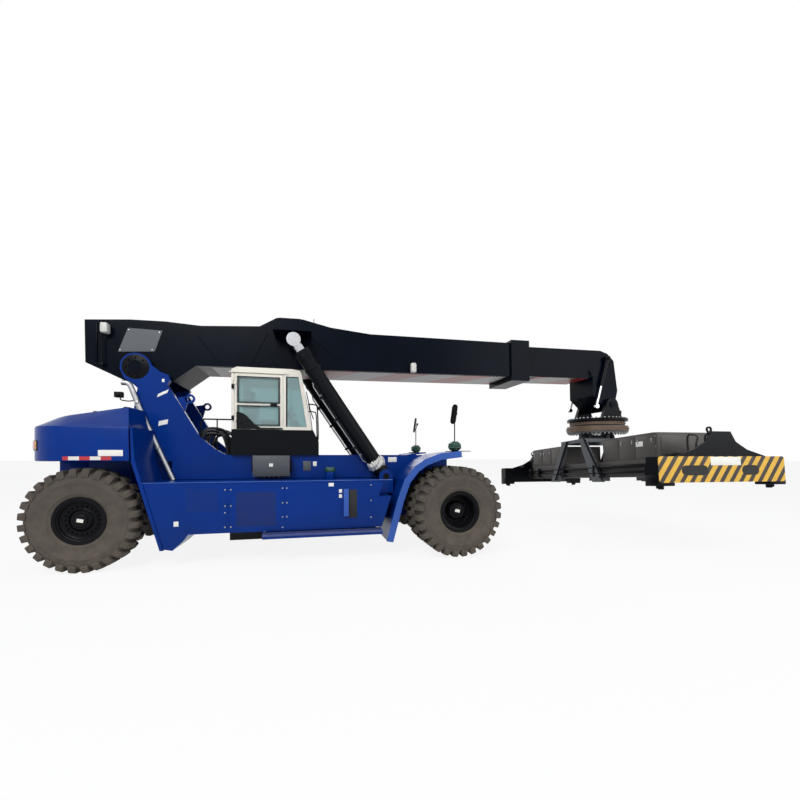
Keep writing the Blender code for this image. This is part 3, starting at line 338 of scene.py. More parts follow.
def banded(name, first, second, pitch_mm, slant=0.0, share=0.5, rough=0.35):
    """Painted or stuck bands across a surface's own flat chart."""
    material, tree, shader = blank(name)
    chart = add(tree, "ShaderNodeUVMap", uv_map="pattern").outputs[0]
    parts = add(tree, "ShaderNodeSeparateXYZ", links={0: chart})
    lean = add(tree, "ShaderNodeMath", {1: slant}, {0: parts.outputs[1]}, operation="MULTIPLY")
    total = add(tree, "ShaderNodeMath", links={0: parts.outputs[0], 1: lean.outputs[0]}, operation="ADD")
    turns = add(tree, "ShaderNodeMath", {1: 1000 / pitch_mm}, {0: total.outputs[0]}, operation="MULTIPLY")
    part = add(tree, "ShaderNodeMath", links={0: turns.outputs[0]}, operation="FRACT")
    band = add(tree, "ShaderNodeMath", {1: share}, {0: part.outputs[0]}, operation="GREATER_THAN")
    where = add(tree, "ShaderNodeTexCoord").outputs["Object"]
    worn = add(tree, "ShaderNodeTexNoise", {"Scale": 1000 / 150, "Detail": 6.0}, {"Vector": where})
    wear = add(tree, "ShaderNodeMapRange", {"From Min": 0.3, "From Max": 0.8, "To Max": 0.16},
               {"Value": worn.outputs["Fac"]})
    tone = add(tree, "ShaderNodeMix", {6: linear(first), 7: linear(second)}, {0: band.outputs[0]},
               data_type="RGBA")
    aged = add(tree, "ShaderNodeMix", {7: linear("#6E5F45")}, {0: wear.outputs[0], 6: tone.outputs[2]},
               data_type="RGBA")
    bump = add(tree, "ShaderNodeBump", {"Strength": 0.05, "Distance": 0.002},
               {"Height": worn.outputs["Fac"]})
    tree.links.new(aged.outputs[2], shader.inputs["Base Color"])
    tree.links.new(bump.outputs[0], shader.inputs["Normal"])
    shader.inputs["Roughness"].default_value = rough
    return material


def clear(name, colour, strength=0.75, rough=0.03):
    """Tinted sheet glass: mostly see-through, with a clear gloss."""
    material, tree, shader = blank(name)
    out = tree.nodes["Material Output"]
    where = add(tree, "ShaderNodeTexCoord").outputs["Object"]
    haze = add(tree, "ShaderNodeTexNoise", {"Scale": 2.5, "Detail": 3.0}, {"Vector": where})
    dull = add(tree, "ShaderNodeMapRange", {"To Min": rough, "To Max": rough + 0.06},
               {"Value": haze.outputs["Fac"]})
    shader.inputs["Base Color"].default_value = linear(colour)
    tree.links.new(dull.outputs[0], shader.inputs["Roughness"])
    through = add(tree, "ShaderNodeBsdfTransparent", {"Color": linear(colour)})
    mixed = add(tree, "ShaderNodeMixShader", {0: strength}, {1: shader.outputs[0], 2: through.outputs[0]})
    tree.links.new(mixed.outputs[0], out.inputs["Surface"])
    return material


# two-pack enamel sprayed on plate: a deep blue with a wet gloss, dust on the lower panels
BLUE = finish("blue_enamel", "#002E7E", "#002668", rough=(0.20, 0.30), grain=0.03, grain_mm=260,
              dust="#1E2C50", dust_low=0.2, dust_high=0.9, specular=0.12, film=0.5)
# painted highlight: the same blue enamel made paler, satin, for edges, lips and bars that catch the light
HIGHLIGHT_BLUE = finish("blue_enamel_painted_highlight", "#2F57A8", "#1E4898", rough=(0.3, 0.4), grain=0.03, specular=0.35)
# black enamel on plate: near-black with a slight brown-grey film of dust
BLACK = finish("black_enamel", "#07090E", "#0D0F14", rough=(0.28, 0.42), dust="#24211F", dust_high=2.0,
               specular=0.09, film=0.4)
# near-black navy enamel sprayed on rolled plate: smooth, with long soft highlights
NAVY = finish("boom_enamel", "#030811", "#060D1B", rough=(0.22, 0.34), grain=0.03, grain_mm=300,
              specular=0.05)
# cream enamel on pressed cab panels: warm white, dustier towards the sill
CREAM = finish("cream_enamel", "#DDD8CE", "#CFC9BC", rough=(0.28, 0.38), dust="#A9A294", dust_high=3.2,
               specular=0.35, film=0.35)
# grey enamel on covers and the turntable: a flat mid grey with a satin gloss
GREY = finish("grey_enamel", "#4C5056", "#43464B", rough=(0.38, 0.5), dust="#5E5950", dust_high=2.4,
              specular=0.35, film=0.35)
# charcoal enamel on the spreader's cabinets: dark brown-grey and dusty
CABINET = finish("charcoal_enamel", "#4A4644", "#3B3938", rough=(0.4, 0.55), dust="#5A544A",
                 dust_high=2.6, specular=0.35, film=0.4)
# vulcanised natural rubber: brown-grey with bloom and dried mud between the lugs
RUBBER = finish("tyre_rubber", "#413C38", "#544D46", patch_mm=240, rough=(0.78, 0.92), grain=0.35,
                grain_mm=18, dust="#7A6F60", dust_low=0.0, dust_high=1.9, specular=0.3, film=0.5)
# extruded hose cover: black with a moist sheen
HOSE = finish("hose_rubber", "#0B0C10", "#14151A", patch_mm=200, rough=(0.25, 0.4), grain=0.1,
              grain_mm=12, specular=0.4)
# moulded rubber glazing strip: dull black
SEAL = finish("rubber_seal", "#0E0E10", "#19191B", patch_mm=200, rough=(0.5, 0.7), grain=0.05)
# hard chrome plated rod: mirror bright, very slightly uneven
CHROME = finish("hard_chrome", "#C9CBCE", "#B9BBBF", rough=(0.08, 0.18), metallic=1.0, grain=0.01)
# zinc plated steel: pale grey metal with a cloudy lustre
STEEL = finish("zinc_plated_steel", "#A9ABAD", "#8C8C8C", patch_mm=60, rough=(0.3, 0.5), metallic=1.0,
               grain=0.1)
# forged ring under red-brown primer: dull and blotchy
RING_IRON = finish("primed_ring_iron", "#6A5646", "#4C4038", patch_mm=120, rough=(0.45, 0.65),
                   metallic=0.3, grain=0.15)
# painted grating bars: lilac-blue where the zinc shows through
STEP = finish("galvanised_grating", "#4A5384", "#3C4574", patch_mm=80, rough=(0.4, 0.6), metallic=0.1,
              grain=0.1, specular=0.2)
# sand-cast iron: dark, matt and pitted
IRON = finish("cast_engine_iron", "#38383A", "#2C2C2E", patch_mm=150, rough=(0.5, 0.7), metallic=0.4,
              grain=0.3)
# white sticker film: slightly yellowed
WHITE = finish("white_vinyl", "#E6E4DE", "#D4D0C6", patch_mm=80, rough=(0.35, 0.5))
# moulded acrylic lenses: deep colour under a clear gloss
RED_LENS = finish("red_lens", "#B0242A", "#8E1B22", patch_mm=60, rough=(0.1, 0.2), coat=0.8)
AMBER_LENS = finish("amber_lens", "#D98A2B", "#C27420", patch_mm=60, rough=(0.1, 0.2), coat=0.8)
# polythene stretch film in layers: milky, creased and half glossy
WRAP = finish("stretch_wrap", "#CFCDC7", "#A8A69F", patch_mm=35, rough=(0.2, 0.5), grain=0.5, grain_mm=30)
# wound green tape: dark green with ridges
GREEN_WRAP = finish("green_tape", "#1F4B3A", "#15382B", patch_mm=35, rough=(0.3, 0.5), grain=0.3,
                    grain_mm=25)
# woven polyester seat cloth: charcoal and matt; the yarns are drawn at 2 to 4 mm, coarser than real, to show
FABRIC = finish("woven_seat_cloth", "#1B1B1E", "#26262A", patch_mm=30, rough=(0.85, 0.95), grain=0.5,
                grain_mm=4, fine_mm=2)
# injection moulded plastic: black with a 3 mm leather-like grain
VINYL = finish("moulded_black_plastic", "#0B0C0E", "#131416", patch_mm=90, rough=(0.4, 0.55), grain=0.2,
               grain_mm=3, specular=0.12)
# painted shade: matt black laid where the inside of a slot or recess lies in shade
RECESS_SHADE = finish("shadowed_recess", "#07080A", "#0D0E11", rough=(0.6, 0.8))
# tinted safety glass: a pale blue-green cast and a sharp gloss
GLASS = clear("tinted_cab_glass", "#C6DCDC", 0.72)
# stencilled enamel stripes, 200 mm apart: yellow and brown-black
HAZARD = banded("hazard_paint", "#D9A92F", "#1E100C", 200, slant=-0.72, share=0.54)
# prismatic tape in 144 mm lengths: red and white
TAPE = banded("reflective_tape", "#B3272E", "#DCD8D2", 288, slant=0.0)
# rolled-on warning paint, 750 mm bands: dull red and grey-white
BOOM_BANDS = banded("boom_warning_paint", "#8E1F26", "#8F8C8A", 1500, slant=0.7)

# finish and the first letters of the CAD nodes that take it
CAD_FINISH = (
    (BLUE, ("chassis_frame", "counterweight", "boom_tower", "side_box", "front_fender")),
    (BLACK, ("front_axle", "rear_axle", "rear_knuckle", "cab_base", "lift_barrel", "damper_barrel",
             "rotator_yoke", "end_beam", "front_rim", "rear_rim")),
    (NAVY, ("outer_boom", "inner_boom")),
    (CREAM, ("cab_frame", "cab_door")),
    (GREY, ("electrical_box", "turntable", "sideshift_carriage")),
    (CABINET, ("spreader_frame",)),
    (RUBBER, ("front_tyre", "rear_tyre")),
    (CHROME, ("lift_rod", "damper_rod")),
    (GLASS, ("windshield", "side_window", "rear_window", "door_window")),
    (FABRIC, ("driver_seat",)),
    (VINYL, ("steering_console",)),
    (IRON, ("engine_block",)),
)
for material, starts in CAD_FINISH:
    for name, node in frame["nodes"].items():
        if name.startswith(starts):
            node.data.materials.clear()
            node.data.materials.append(material)

# -------------------- wheels
LUGS = 28
LUG_HEIGHT = 0.062


def lug(half, side):
    """One tread block with a chamfered shoulder that runs down the sidewall, at the top of the wheel."""
    solid = bmesh.new()
    base = TYRE_R - LUG_HEIGHT - 0.01
    line = [(0.012, base), (0.012, TYRE_R - 0.001), (half - 0.050, TYRE_R - 0.003),
            (half - 0.016, TYRE_R - 0.028),
            (half + 0.001, TYRE_R - 0.090), (half - 0.002, TYRE_R - 0.135),
            (half - 0.030, TYRE_R - 0.120)]
    pitch = 2 * pi * TYRE_R / LUGS
    slab(solid, [(side * y, z) for y, z in line], -pitch * 0.29, pitch * 0.29, "yz")
    for vert in solid.verts:
        out = (vert.co.z - base) / LUG_HEIGHT
        taper = 1.0 - 0.10 * max(0.0, min(out, 1.0))
        vert.co.x = vert.co.x * taper + 0.055 * (abs(vert.co.y) - half / 2)
    bmesh.ops.bevel(solid, geom=solid.edges[:], offset=0.006, segments=1, profile=0.5, affect="EDGES",
                    material=-1)
    return solid


def tyre(name, node, half, body):
    """A bias-ply lug tyre: carcass, bead rings and two rows of offset tread blocks."""
    bm = bmesh.new()
    root = TYRE_R - LUG_HEIGHT
    outer = [(0.3303, half - 0.0505), (0.352, half - 0.046), (0.372, half - 0.042), (0.392, half - 0.026),
             (0.410, half - 0.022), (0.414, half - 0.016), (0.424, half - 0.016), (0.430, half - 0.018),
             (0.47, half - 0.008), (0.53, half - 0.001), (0.58, half), (0.586, half + 0.003),
             (0.596, half + 0.003),
             (0.602, half - 0.001), (0.655, half - 0.008), (0.69, half - 0.020), (0.722, half - 0.042),
             (root, half - 0.085), (root + 0.004, half * 0.4)]
    spun(bm, outer + [(radius, -y) for radius, y in reversed(outer)], 84)
    for side, phase in ((1.0, 0.0), (-1.0, 0.5)):
        for index in range(LUGS):
            merge(bm, lug(half, side), Matrix.Rotation(2 * pi * (index + phase) / LUGS, 4, "Y"))
    made = piece(name, bm, RUBBER, body, Matrix.Translation(middle(node)), crease=40)
    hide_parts(node)


def rim(name, node, side, body, inner, outer, disc, cap, hub_depth, bore):
    """A pressed disc wheel with its nuts and hub; distances are out from the centre plane."""
    bm = bmesh.new()
    bead = 0.3297
    profile = [(0.0, cap), (0.085, cap), (0.095, cap - 0.006), (0.10, cap - 0.022), (0.138, cap - 0.028),
               (0.150, cap - 0.040), (0.165, cap - 0.06), (0.168, disc + 0.030), (0.180, disc + 0.022),
               (0.262, disc + 0.022), (0.276, disc + 0.034), (0.284, outer - 0.060),
               (0.294, outer - 0.030),
               (0.312, outer - 0.022), (0.316, outer - 0.006), (0.336, outer), (0.362, outer),
               (0.369, outer - 0.006),
               (0.369, outer - 0.016), (bead, outer - 0.017), (bead, inner + 0.017),
               (0.368, inner + 0.017),
               (0.368, inner), (0.305, inner), (0.292, disc - 0.02), (0.165, disc - 0.02),
               (0.165, hub_depth),
               (bore, hub_depth), (bore, cap - 0.10), (0.0, cap - 0.10)]
    spun(bm, [(radius, side * y) for radius, y in profile], 64)
    for count, radius, size, face, high in ((20, 0.222, 0.017, disc + 0.020, 0.030),
                                            (12, 0.118, 0.009, cap - 0.028, 0.014)):
        for index in range(count):
            angle = 2 * pi * index / count
            start = Vector((radius * cos(angle), side * face, radius * sin(angle)))
            rod(bm, start, start + Vector((0, side * high, 0)), size, 6)
            rod(bm, start, start + Vector((0, side * high * 1.5, 0)), size * 0.5, 8)
    centre = middle(node)
    made = piece(name, bm, BLACK, body, Matrix.Translation((centre.x, REAR_AXLE.y, centre.z)))
    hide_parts(node)
    label = bmesh.new()
    block(label, (-0.045, side * (cap + 0.001), -0.026), (0.045, side * (cap + 0.003), 0.026))
    piece(f"{name}_label", label, WHITE, body,
          Matrix.Translation((centre.x, REAR_AXLE.y, centre.z)) @ Matrix.Rotation(radians(12), 4, "Y"))


for tag, side in SIDES:
    for place in ("inner", "outer"):
        tyre(f"front_lug_tyre_{place}_{tag}", f"front_tyre_{place}_{tag}", 0.240, f"front_wheels_{tag}")
    tyre(f"rear_lug_tyre_{tag}", f"rear_tyre_{tag}", 0.250, f"rear_wheel_{tag}")
    rim(f"front_disc_wheel_{tag}", f"front_rim_{tag}", side, f"front_wheels_{tag}",
        1.0925, 2.0675, 1.78, 1.93, 1.20, 0.1215)
    rim(f"rear_disc_wheel_{tag}", f"rear_rim_{tag}", side, f"rear_wheel_{tag}",
        1.2125, 1.6475, 1.55, 1.62, 1.44, 0.0815)

# -------------------- rear casing


def casing():
    """The counterweight: round rear corners, a leaning shoulder and a top that rises to the front."""
    rear, side, corner, gap = -0.86, 1.60, 0.62, 0.70

    def plan(lean, front):
        edge, back, bend = side - lean, rear + lean, corner - lean
        return ([(front, -edge)] + arc((back + bend, bend - edge), bend, 270, 180, 16)
                + arc((back + bend, edge - bend), bend, 180, 90, 16)
                + [(front, edge), (front, gap), (0.20, gap), (0.20, -gap), (front, -gap)])

    levels = ((1.72, 0.012, 0.650), (1.735, 0.0, 0.655), (2.235, 0.0, 0.645), (2.262, 0.010, 0.641),
              (2.272, 0.030, 0.639), (None, 0.235, 0.555), (None, 0.275, 0.540))
    bm = bmesh.new()
    rings = []
    for index, (height, lean, front) in enumerate(levels):
        drop = 0.016 if index == len(levels) - 2 else 0.0
        points = [(x, y, height or 2.345 + 0.185 * (x - rear) - drop) for x, y in plan(lean, front)]
        rings.append([bm.verts.new(point) for point in points])
    loops = [[bm.edges.new((a, b)) for a, b in zip(ring, ring[1:] + ring[:1])] for ring in rings]
    for low, high in zip(loops, loops[1:]):
        bmesh.ops.bridge_loops(bm, edges=low + high)
    for ring in (rings[0], rings[-1]):
        bm.faces.new(ring)
    block(bm, (-0.84, -0.55, 1.00), (-0.40, 0.55, 1.72), 0.02)
    bmesh.ops.recalc_face_normals(bm, faces=bm.faces)
    made = piece("rear_casing", bm, BLUE, "chassis")
    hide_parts("counterweight")
    for tag, s in SIDES:
        bm = bmesh.new()
        panel(bm, -0.24, 0.41, 1.737, 1.794, s * 1.6005, s * 1.6030)
        piece(f"reflective_band_{tag}", bm, TAPE, "chassis", chart=lambda co: (co.x + 0.31, co.z))
        bm = bmesh.new()
        panel(bm, 0.23, 0.57, 1.80, 1.895, s * 1.6005, s * 1.6030, 0.001)
        piece(f"casing_notice_{tag}", bm, WHITE, "chassis")
        corner_at = Matrix.Translation((rear + corner, s * (side - corner), 0.0))
        # the housing is painted shade: a matt black block behind the lenses for the shaded lamp recess
        for kind, material, spot in (("housing", RECESS_SHADE, (0.585, 0.622, -0.115, 0.115, 1.885, 2.045)),
                                     ("stop_lamp", RED_LENS, (0.60, 0.634, -0.10, 0.02, 1.90, 2.03)),
                                     ("turn_lamp", AMBER_LENS, (0.60, 0.632, 0.03, 0.10, 1.90, 2.03))):
            bm = bmesh.new()
            x0, x1, y0, y1, z0, z1 = spot
            block(bm, (x0, y0, z0), (x1, y1, z1), 0.006)
            piece(f"rear_{kind}_{tag}", bm, material, "chassis",
                  MACHINE @ corner_at @ Matrix.Rotation(radians(180 + s * -38), 4, "Z"))
        bm = bmesh.new()
        for x in (-0.1, 0.35):
            rod(bm, (x, s * 0.95, 2.50 + 0.185 * x), (x, s * 0.95, 2.58 + 0.185 * x), 0.035, 16,
                bevel=0.006)
        piece(f"lifting_eyes_{tag}", bm, BLACK, "chassis")
    bm = bmesh.new()
    for k in range(13):
        block(bm, (rear - 0.004, -0.42, 1.10 + k * 0.045), (rear + 0.03, 0.42, 1.125 + k * 0.045), 0.003)
    piece("rear_radiator_slats", bm, BLACK, "chassis")
    bm = bmesh.new()
    block(bm, (rear - 0.012, -0.30, 1.90), (rear + 0.01, 0.30, 2.04), 0.004)
    piece("rear_blank_plate", bm, WHITE, "chassis")


casing()

# -------------------- tower: plates, hose conduit, camera, lugs
TOWER_FACE = 0.6755      # the towers' outer face, from the centre plane
SIDE_FACE = 1.6003       # the side boxes' outer face


def tower_fittings():
    marks = (((0.815, 3.20), (0.857, 3.20), (0.857, 3.145), (0.815, 3.145)),
             ((0.735, 2.865), (0.755, 2.925), (0.925, 3.015), (0.905, 2.955)),
             ((0.755, 2.345), (0.765, 2.43), (0.915, 2.47), (0.905, 2.385)))
    for tag, s in SIDES:
        bm = bmesh.new()
        for outline in marks:
            slab(bm, outline, s * TOWER_FACE, s * (TOWER_FACE + 0.002))
        piece(f"tower_notices_{tag}", bm, WHITE, "chassis")
        bm = bmesh.new()
        tube(bm, [(0.20, s * 0.735, 3.10), (0.30, s * 0.735, 3.08), (0.36, s * 0.735, 2.98),
                  (0.52, s * 0.735, 2.54),
                  (0.77, s * 0.735, 1.94), (1.015, s * 0.735, 1.365)], 0.046, 14)
        for x, z in ((0.445, 2.75), (0.77, 1.94)):
            block(bm, (x - 0.03, s * 0.672, z - 0.03), (x + 0.03, s * 0.79, z + 0.03), 0.01)
        piece(f"hose_conduit_{tag}", bm, STEEL, "chassis")
        bm = bmesh.new()
        ring = [(0.085, -0.015), (0.085, 0.015), (0.045, 0.015), (0.045, -0.015)]
        spun(bm, ring, 24, Matrix.Translation((1.27, s * 0.625, 2.86)))
        slab(bm, [(1.04, 2.87), (1.20, 2.90), (1.23, 2.79), (1.18, 2.62)], s * 0.625 - 0.015,
             s * 0.625 + 0.015)
        piece(f"tower_lug_{tag}", bm, BLUE, "chassis")
        bm = bmesh.new()
        spun(bm, [(0.108, s * 0.705), (0.128, s * 0.690), (0.215, s * 0.678), (0.222, s * 0.676),
                  (0.108, s * 0.676)], 40,
             Matrix.Translation((0.39, 0.0, 3.40)))
        turns = [k * pi / 4 for k in range(8)]
        bolts(bm, [(0.39 + 0.17 * cos(turn), s * 0.680, 3.40 + 0.17 * sin(turn)) for turn in turns],
              0.016, 0.022, (0, s, 0))
        piece(f"pivot_cap_{tag}", bm, BLACK, "chassis")
    bm = bmesh.new()
    block(bm, (0.09, -0.78, 2.83), (0.22, -0.69, 2.93), 0.012)
    rod(bm, (0.155, -0.78, 2.88), (0.155, -0.815, 2.88), 0.032, 20, bevel=0.004)
    tube(bm, [(0.17, -0.735, 2.84), (0.19, -0.73, 2.79), (0.30, -0.72, 2.775), (0.40, -0.67, 2.80)],
         0.010, 8)
    piece("side_camera", bm, VINYL, "chassis")


tower_fittings()

# -------------------- service sides: panels, grilles, bolts, step


def slots(bm, left, right, low, high, y, out, pitch=0.0275, long=0.030, wide=0.0085, lean=-35):
    """Rows of short slanted slots, every other row half a pitch along."""
    shape = bmesh.new()
    block(shape, (-long / 2, y, -wide / 2), (long / 2, y + out, wide / 2))
    tilt = Matrix.Rotation(radians(-lean), 4, "Y")
    rows = int((high - low) / pitch)
    columns = int((right - left) / pitch)
    for row in range(rows):
        for column in range(columns):
            x = left + (column + 0.5 + 0.25 * (row % 2)) * pitch
            height = low + (row + 0.5) * pitch
            merge(bm, shape.copy(), Matrix.Translation((x, 0.0, height)) @ tilt)
    shape.free()


def service_side(tag, s):
    face = s * SIDE_FACE
    bm = bmesh.new()
    for left, low, right_low, right_high in ((1.36, 0.575, 2.085, 2.085), (2.125, 0.555, 2.995, 2.995),
                                             (3.025, 0.545, 4.50, 4.72)):
        slab(bm, [(left, low), (right_low, low), (right_high, 1.335), (left, 1.335)],
             face, face + s * 0.004, bevel=0.0015)
    piece(f"service_panels_{tag}", bm, BLUE, "chassis")
    # painted highlight: the top flange in paler blue where its top catches the light
    plates(f"service_top_flange_{tag}", HIGHLIGHT_BLUE, "chassis", [(0.84, 4.90, 1.3605, 1.372)],
           s * 1.55, s * 1.612, 0.003)
    # the grille slots are painted shade: matt black slot blocks standing proud of the panel where the
    # openings lie in shade
    bm = bmesh.new()
    slots(bm, 2.23, 2.87, 0.62, 1.21, face, s * 0.0046)
    piece(f"cooling_grille_{tag}", bm, RECESS_SHADE, "chassis")
    bm = bmesh.new()
    slots(bm, 1.46, 1.94, 0.88, 1.28, face, s * 0.0046, pitch=0.032, long=0.024, wide=0.0055)
    piece(f"vent_grille_{tag}", bm, RECESS_SHADE, "chassis")
    bm = bmesh.new()
    columns = ((2.06, (1.24, 0.97, 0.86, 0.62)), (2.15, (1.24, 0.97, 0.62)),
               (2.975, (1.25, 1.0, 0.76, 0.58)),
               (3.045, (1.25, 1.0, 0.76)), (4.50, (1.28, 1.0, 0.70)))
    bolts(bm, [(x, face + s * 0.003, z) for x, heights in columns for z in heights], 0.013, 0.010,
          (0, s, 0))
    piece(f"panel_bolts_{tag}", bm, STEEL, "chassis")
    plates(f"panel_hinges_{tag}", BLUE, "chassis",
           [(2.085, 2.125, z - 0.05, z + 0.05) for z in (1.27, 1.05, 0.90, 0.68)], face, face + s * 0.012,
           0.003)
    # painted highlight: the grab bar in paler blue where it stands out into the light
    plates(f"grab_bar_{tag}", HIGHLIGHT_BLUE, "chassis", [(4.01, 4.10, 0.73, 1.22)], face, face + s * 0.05, 0.01)
    # painted shadow: a matt black plate beside the grab bar for the shade in its recess
    plates(f"grab_recess_shade_{tag}", RECESS_SHADE, "chassis", [(4.105, 4.25, 0.70, 1.20)], face, face + s * 0.006,
           0.002)
    plates(f"service_notices_{tag}", WHITE, "chassis",
           [(3.93, 3.985, 1.15, 1.21), (3.93, 3.985, 1.06, 1.12), (3.75, 3.84, 1.265, 1.325),
            (1.29, 1.36, 0.66, 0.74)], face, face + s * 0.006, 0.001)
    bm = bmesh.new()
    for k in range(62):
        x = 2.68 + k * 0.0323
        panel(bm, x, x + 0.006, 0.484, 0.502, s * 1.51, s * 1.785)
    for y in (1.51, 1.58, 1.65, 1.72, 1.785):
        block(bm, (2.66, s * y - 0.004, 0.462), (4.69, s * y + 0.004, 0.498), 0.001)
    piece(f"step_grating_{tag}", bm, STEP, "chassis")
    bm = bmesh.new()
    panel(bm, 2.13, 2.64, 0.395, 0.54, s * 0.92, s * 1.595, 0.008)
    for x in (2.2, 2.56):
        panel(bm, x, x + 0.03, 0.44, 0.52, s * 1.59, s * 1.603, 0.004)
    piece(f"battery_case_{tag}", bm, BLACK, "chassis")


for tag, s in SIDES:
    service_side(tag, s)


def deck_fittings():
    skin = -TOWER_FACE
    plates("deck_cover_plate", GREY, "chassis", [(3.30, 3.45, 1.51, 1.70)], skin - 0.012, skin, 0.004)
    plates("deck_notices", WHITE, "chassis", [(3.49, 3.56, 1.60, 1.69), (5.00, 5.18, 1.675, 1.775)],
           skin - 0.003, skin, 0.001)
    bm = bmesh.new()
    rod(bm, (3.81, -0.90, 1.36), (3.81, -0.90, 1.50), 0.095, 28, bevel=0.01)
    piece("filler_neck", bm, BLUE, "chassis")
    bm = bmesh.new()
    rod(bm, (3.81, -0.90, 1.495), (3.81, -0.90, 1.565), 0.105, 18, bevel=0.012)
    block(bm, (3.73, -0.93, 1.56), (3.89, -0.87, 1.585), 0.008)
    piece("filler_cap", bm, GREEN_WRAP, "chassis")
    bm = bmesh.new()
    block(bm, (2.405, -0.937, 1.43), (3.055, -0.931, 1.80), 0.003)
    bolts(bm, [(x, -0.936, z) for x in (2.43, 3.03) for z in (1.46, 1.77)], 0.009, 0.006)
    rod(bm, (3.00, -0.936, 1.60), (3.00, -0.950, 1.60), 0.016, 16)
    for k in range(4):
        rod(bm, (2.60 + k * 0.085, -0.85, 1.42), (2.60 + k * 0.085, -0.85, 1.385), 0.018, 12)
    piece("electrical_box_door", bm, GREY, "chassis")
    plates("electrical_box_mounts", BLACK, "chassis", [(x, x + 0.025, 1.50, 1.74) for x in (2.375, 3.065)],
           -0.90, -0.66, 0.004)
    plates("electrical_box_notice", WHITE, "chassis", [(2.69, 2.76, 1.60, 1.66)], -0.9395, -0.9370)
    bm = bmesh.new()
    tube(bm, [(1.45, -0.62, 1.84), (1.45, -0.62, 2.44), (1.50, -0.62, 2.49), (1.98, -0.62, 2.49)], 0.014,
         10, rounded=False)
    rod(bm, (1.73, -0.62, 2.49), (1.73, -0.62, 1.84), 0.012, 10)
    piece("deck_rail", bm, BLACK, "chassis")


deck_fittings()

HOSE_RADIUS = 0.024


def hose(name, points):
    """A stiff hose with both ends in the machine."""
    line = [MACHINE @ Vector(point) for point in smooth_line(points)]
    bm = bmesh.new()
    tube(bm, line, HOSE_RADIUS, 10, rounded=False)
    made = piece(name, bm, HOSE, "chassis", Matrix.Identity(4))


def deck_hoses():
    """A bundle that arches out of the deck behind the cab and back in."""
    for k in range(9):
        y = -0.60 + 0.135 * k
        top = 2.26 + 0.05 * sin(k * 2.1)
        start, end = 1.36 + 0.04 * cos(k * 1.7), 1.90 + 0.05 * sin(k * 1.3)
        hose(f"deck_hose_{k + 1}", [(start, y, 1.80), (start + 0.02, y, 1.96),
                                    (start + 0.13, y + 0.02, top), (end - 0.12, y + 0.03, top - 0.02),
                                    (end - 0.01, y + 0.03, 1.97), (end, y + 0.03, 1.80)])


deck_hoses()

# -------------------- front fenders and mirrors
FENDER = [(4.79, 0.26), (4.99, 1.00), (5.12, 1.36), (5.31, 1.60), (5.50, 1.73), (5.80, 1.84),
          (6.22, 1.89)]

for tag, s in SIDES:
    # painted highlight: the fender lip in paler blue where its edge catches the light
    bm = bmesh.new()
    slab(bm, beside(FENDER, -0.008) + list(reversed(beside(FENDER, 0.115))), s * 1.6405, s * 1.650)
    piece(f"fender_edge_{tag}", bm, HIGHLIGHT_BLUE, "chassis")
    bm = bmesh.new()
    panel(bm, 6.02, 6.42, 1.885, 1.897, s * 1.30, s * 1.63, 0.003)
    rod(bm, (6.17, s * 1.42, 1.89), (6.17, s * 1.42, 2.50), 0.011, 12)
    tube(bm, [(6.17, s * 1.42, 2.50), (6.19, s * 1.42, 2.56), (6.21, s * 1.43, 2.66)], 0.011, 10)
    panel(bm, 6.185, 6.225, 2.60, 2.66, s * 1.38, s * 1.43, 0.006)
    piece(f"mirror_stand_{tag}", bm, BLACK, "chassis")
    bm = bmesh.new()
    slab(bm, arc((0.0, 0.13), 0.065, 0, 180, 8) + arc((0.0, -0.13), 0.065, 180, 360, 8), -0.015, 0.015,
         bevel=0.005)
    lean, swing = Matrix.Rotation(radians(8), 4, "Y"), Matrix.Rotation(radians(62 * s), 4, "Z")
    piece(f"mirror_shell_{tag}", bm, VINYL, "chassis",
          MACHINE @ Matrix.Translation((6.15, s * 1.44, 2.61)) @ lean @ swing)
    bm = wrapping((0.125, 0.115, 0.10), (0.10, 7, 3, 6), (0.05, 17))
    piece(f"mirror_foot_wrap_{tag}", bm, GREEN_WRAP, "chassis",
          MACHINE @ Matrix.Translation((6.17, s * 1.42, 1.985)))

# -------------------- cab
CAB_SKIN = -0.7716


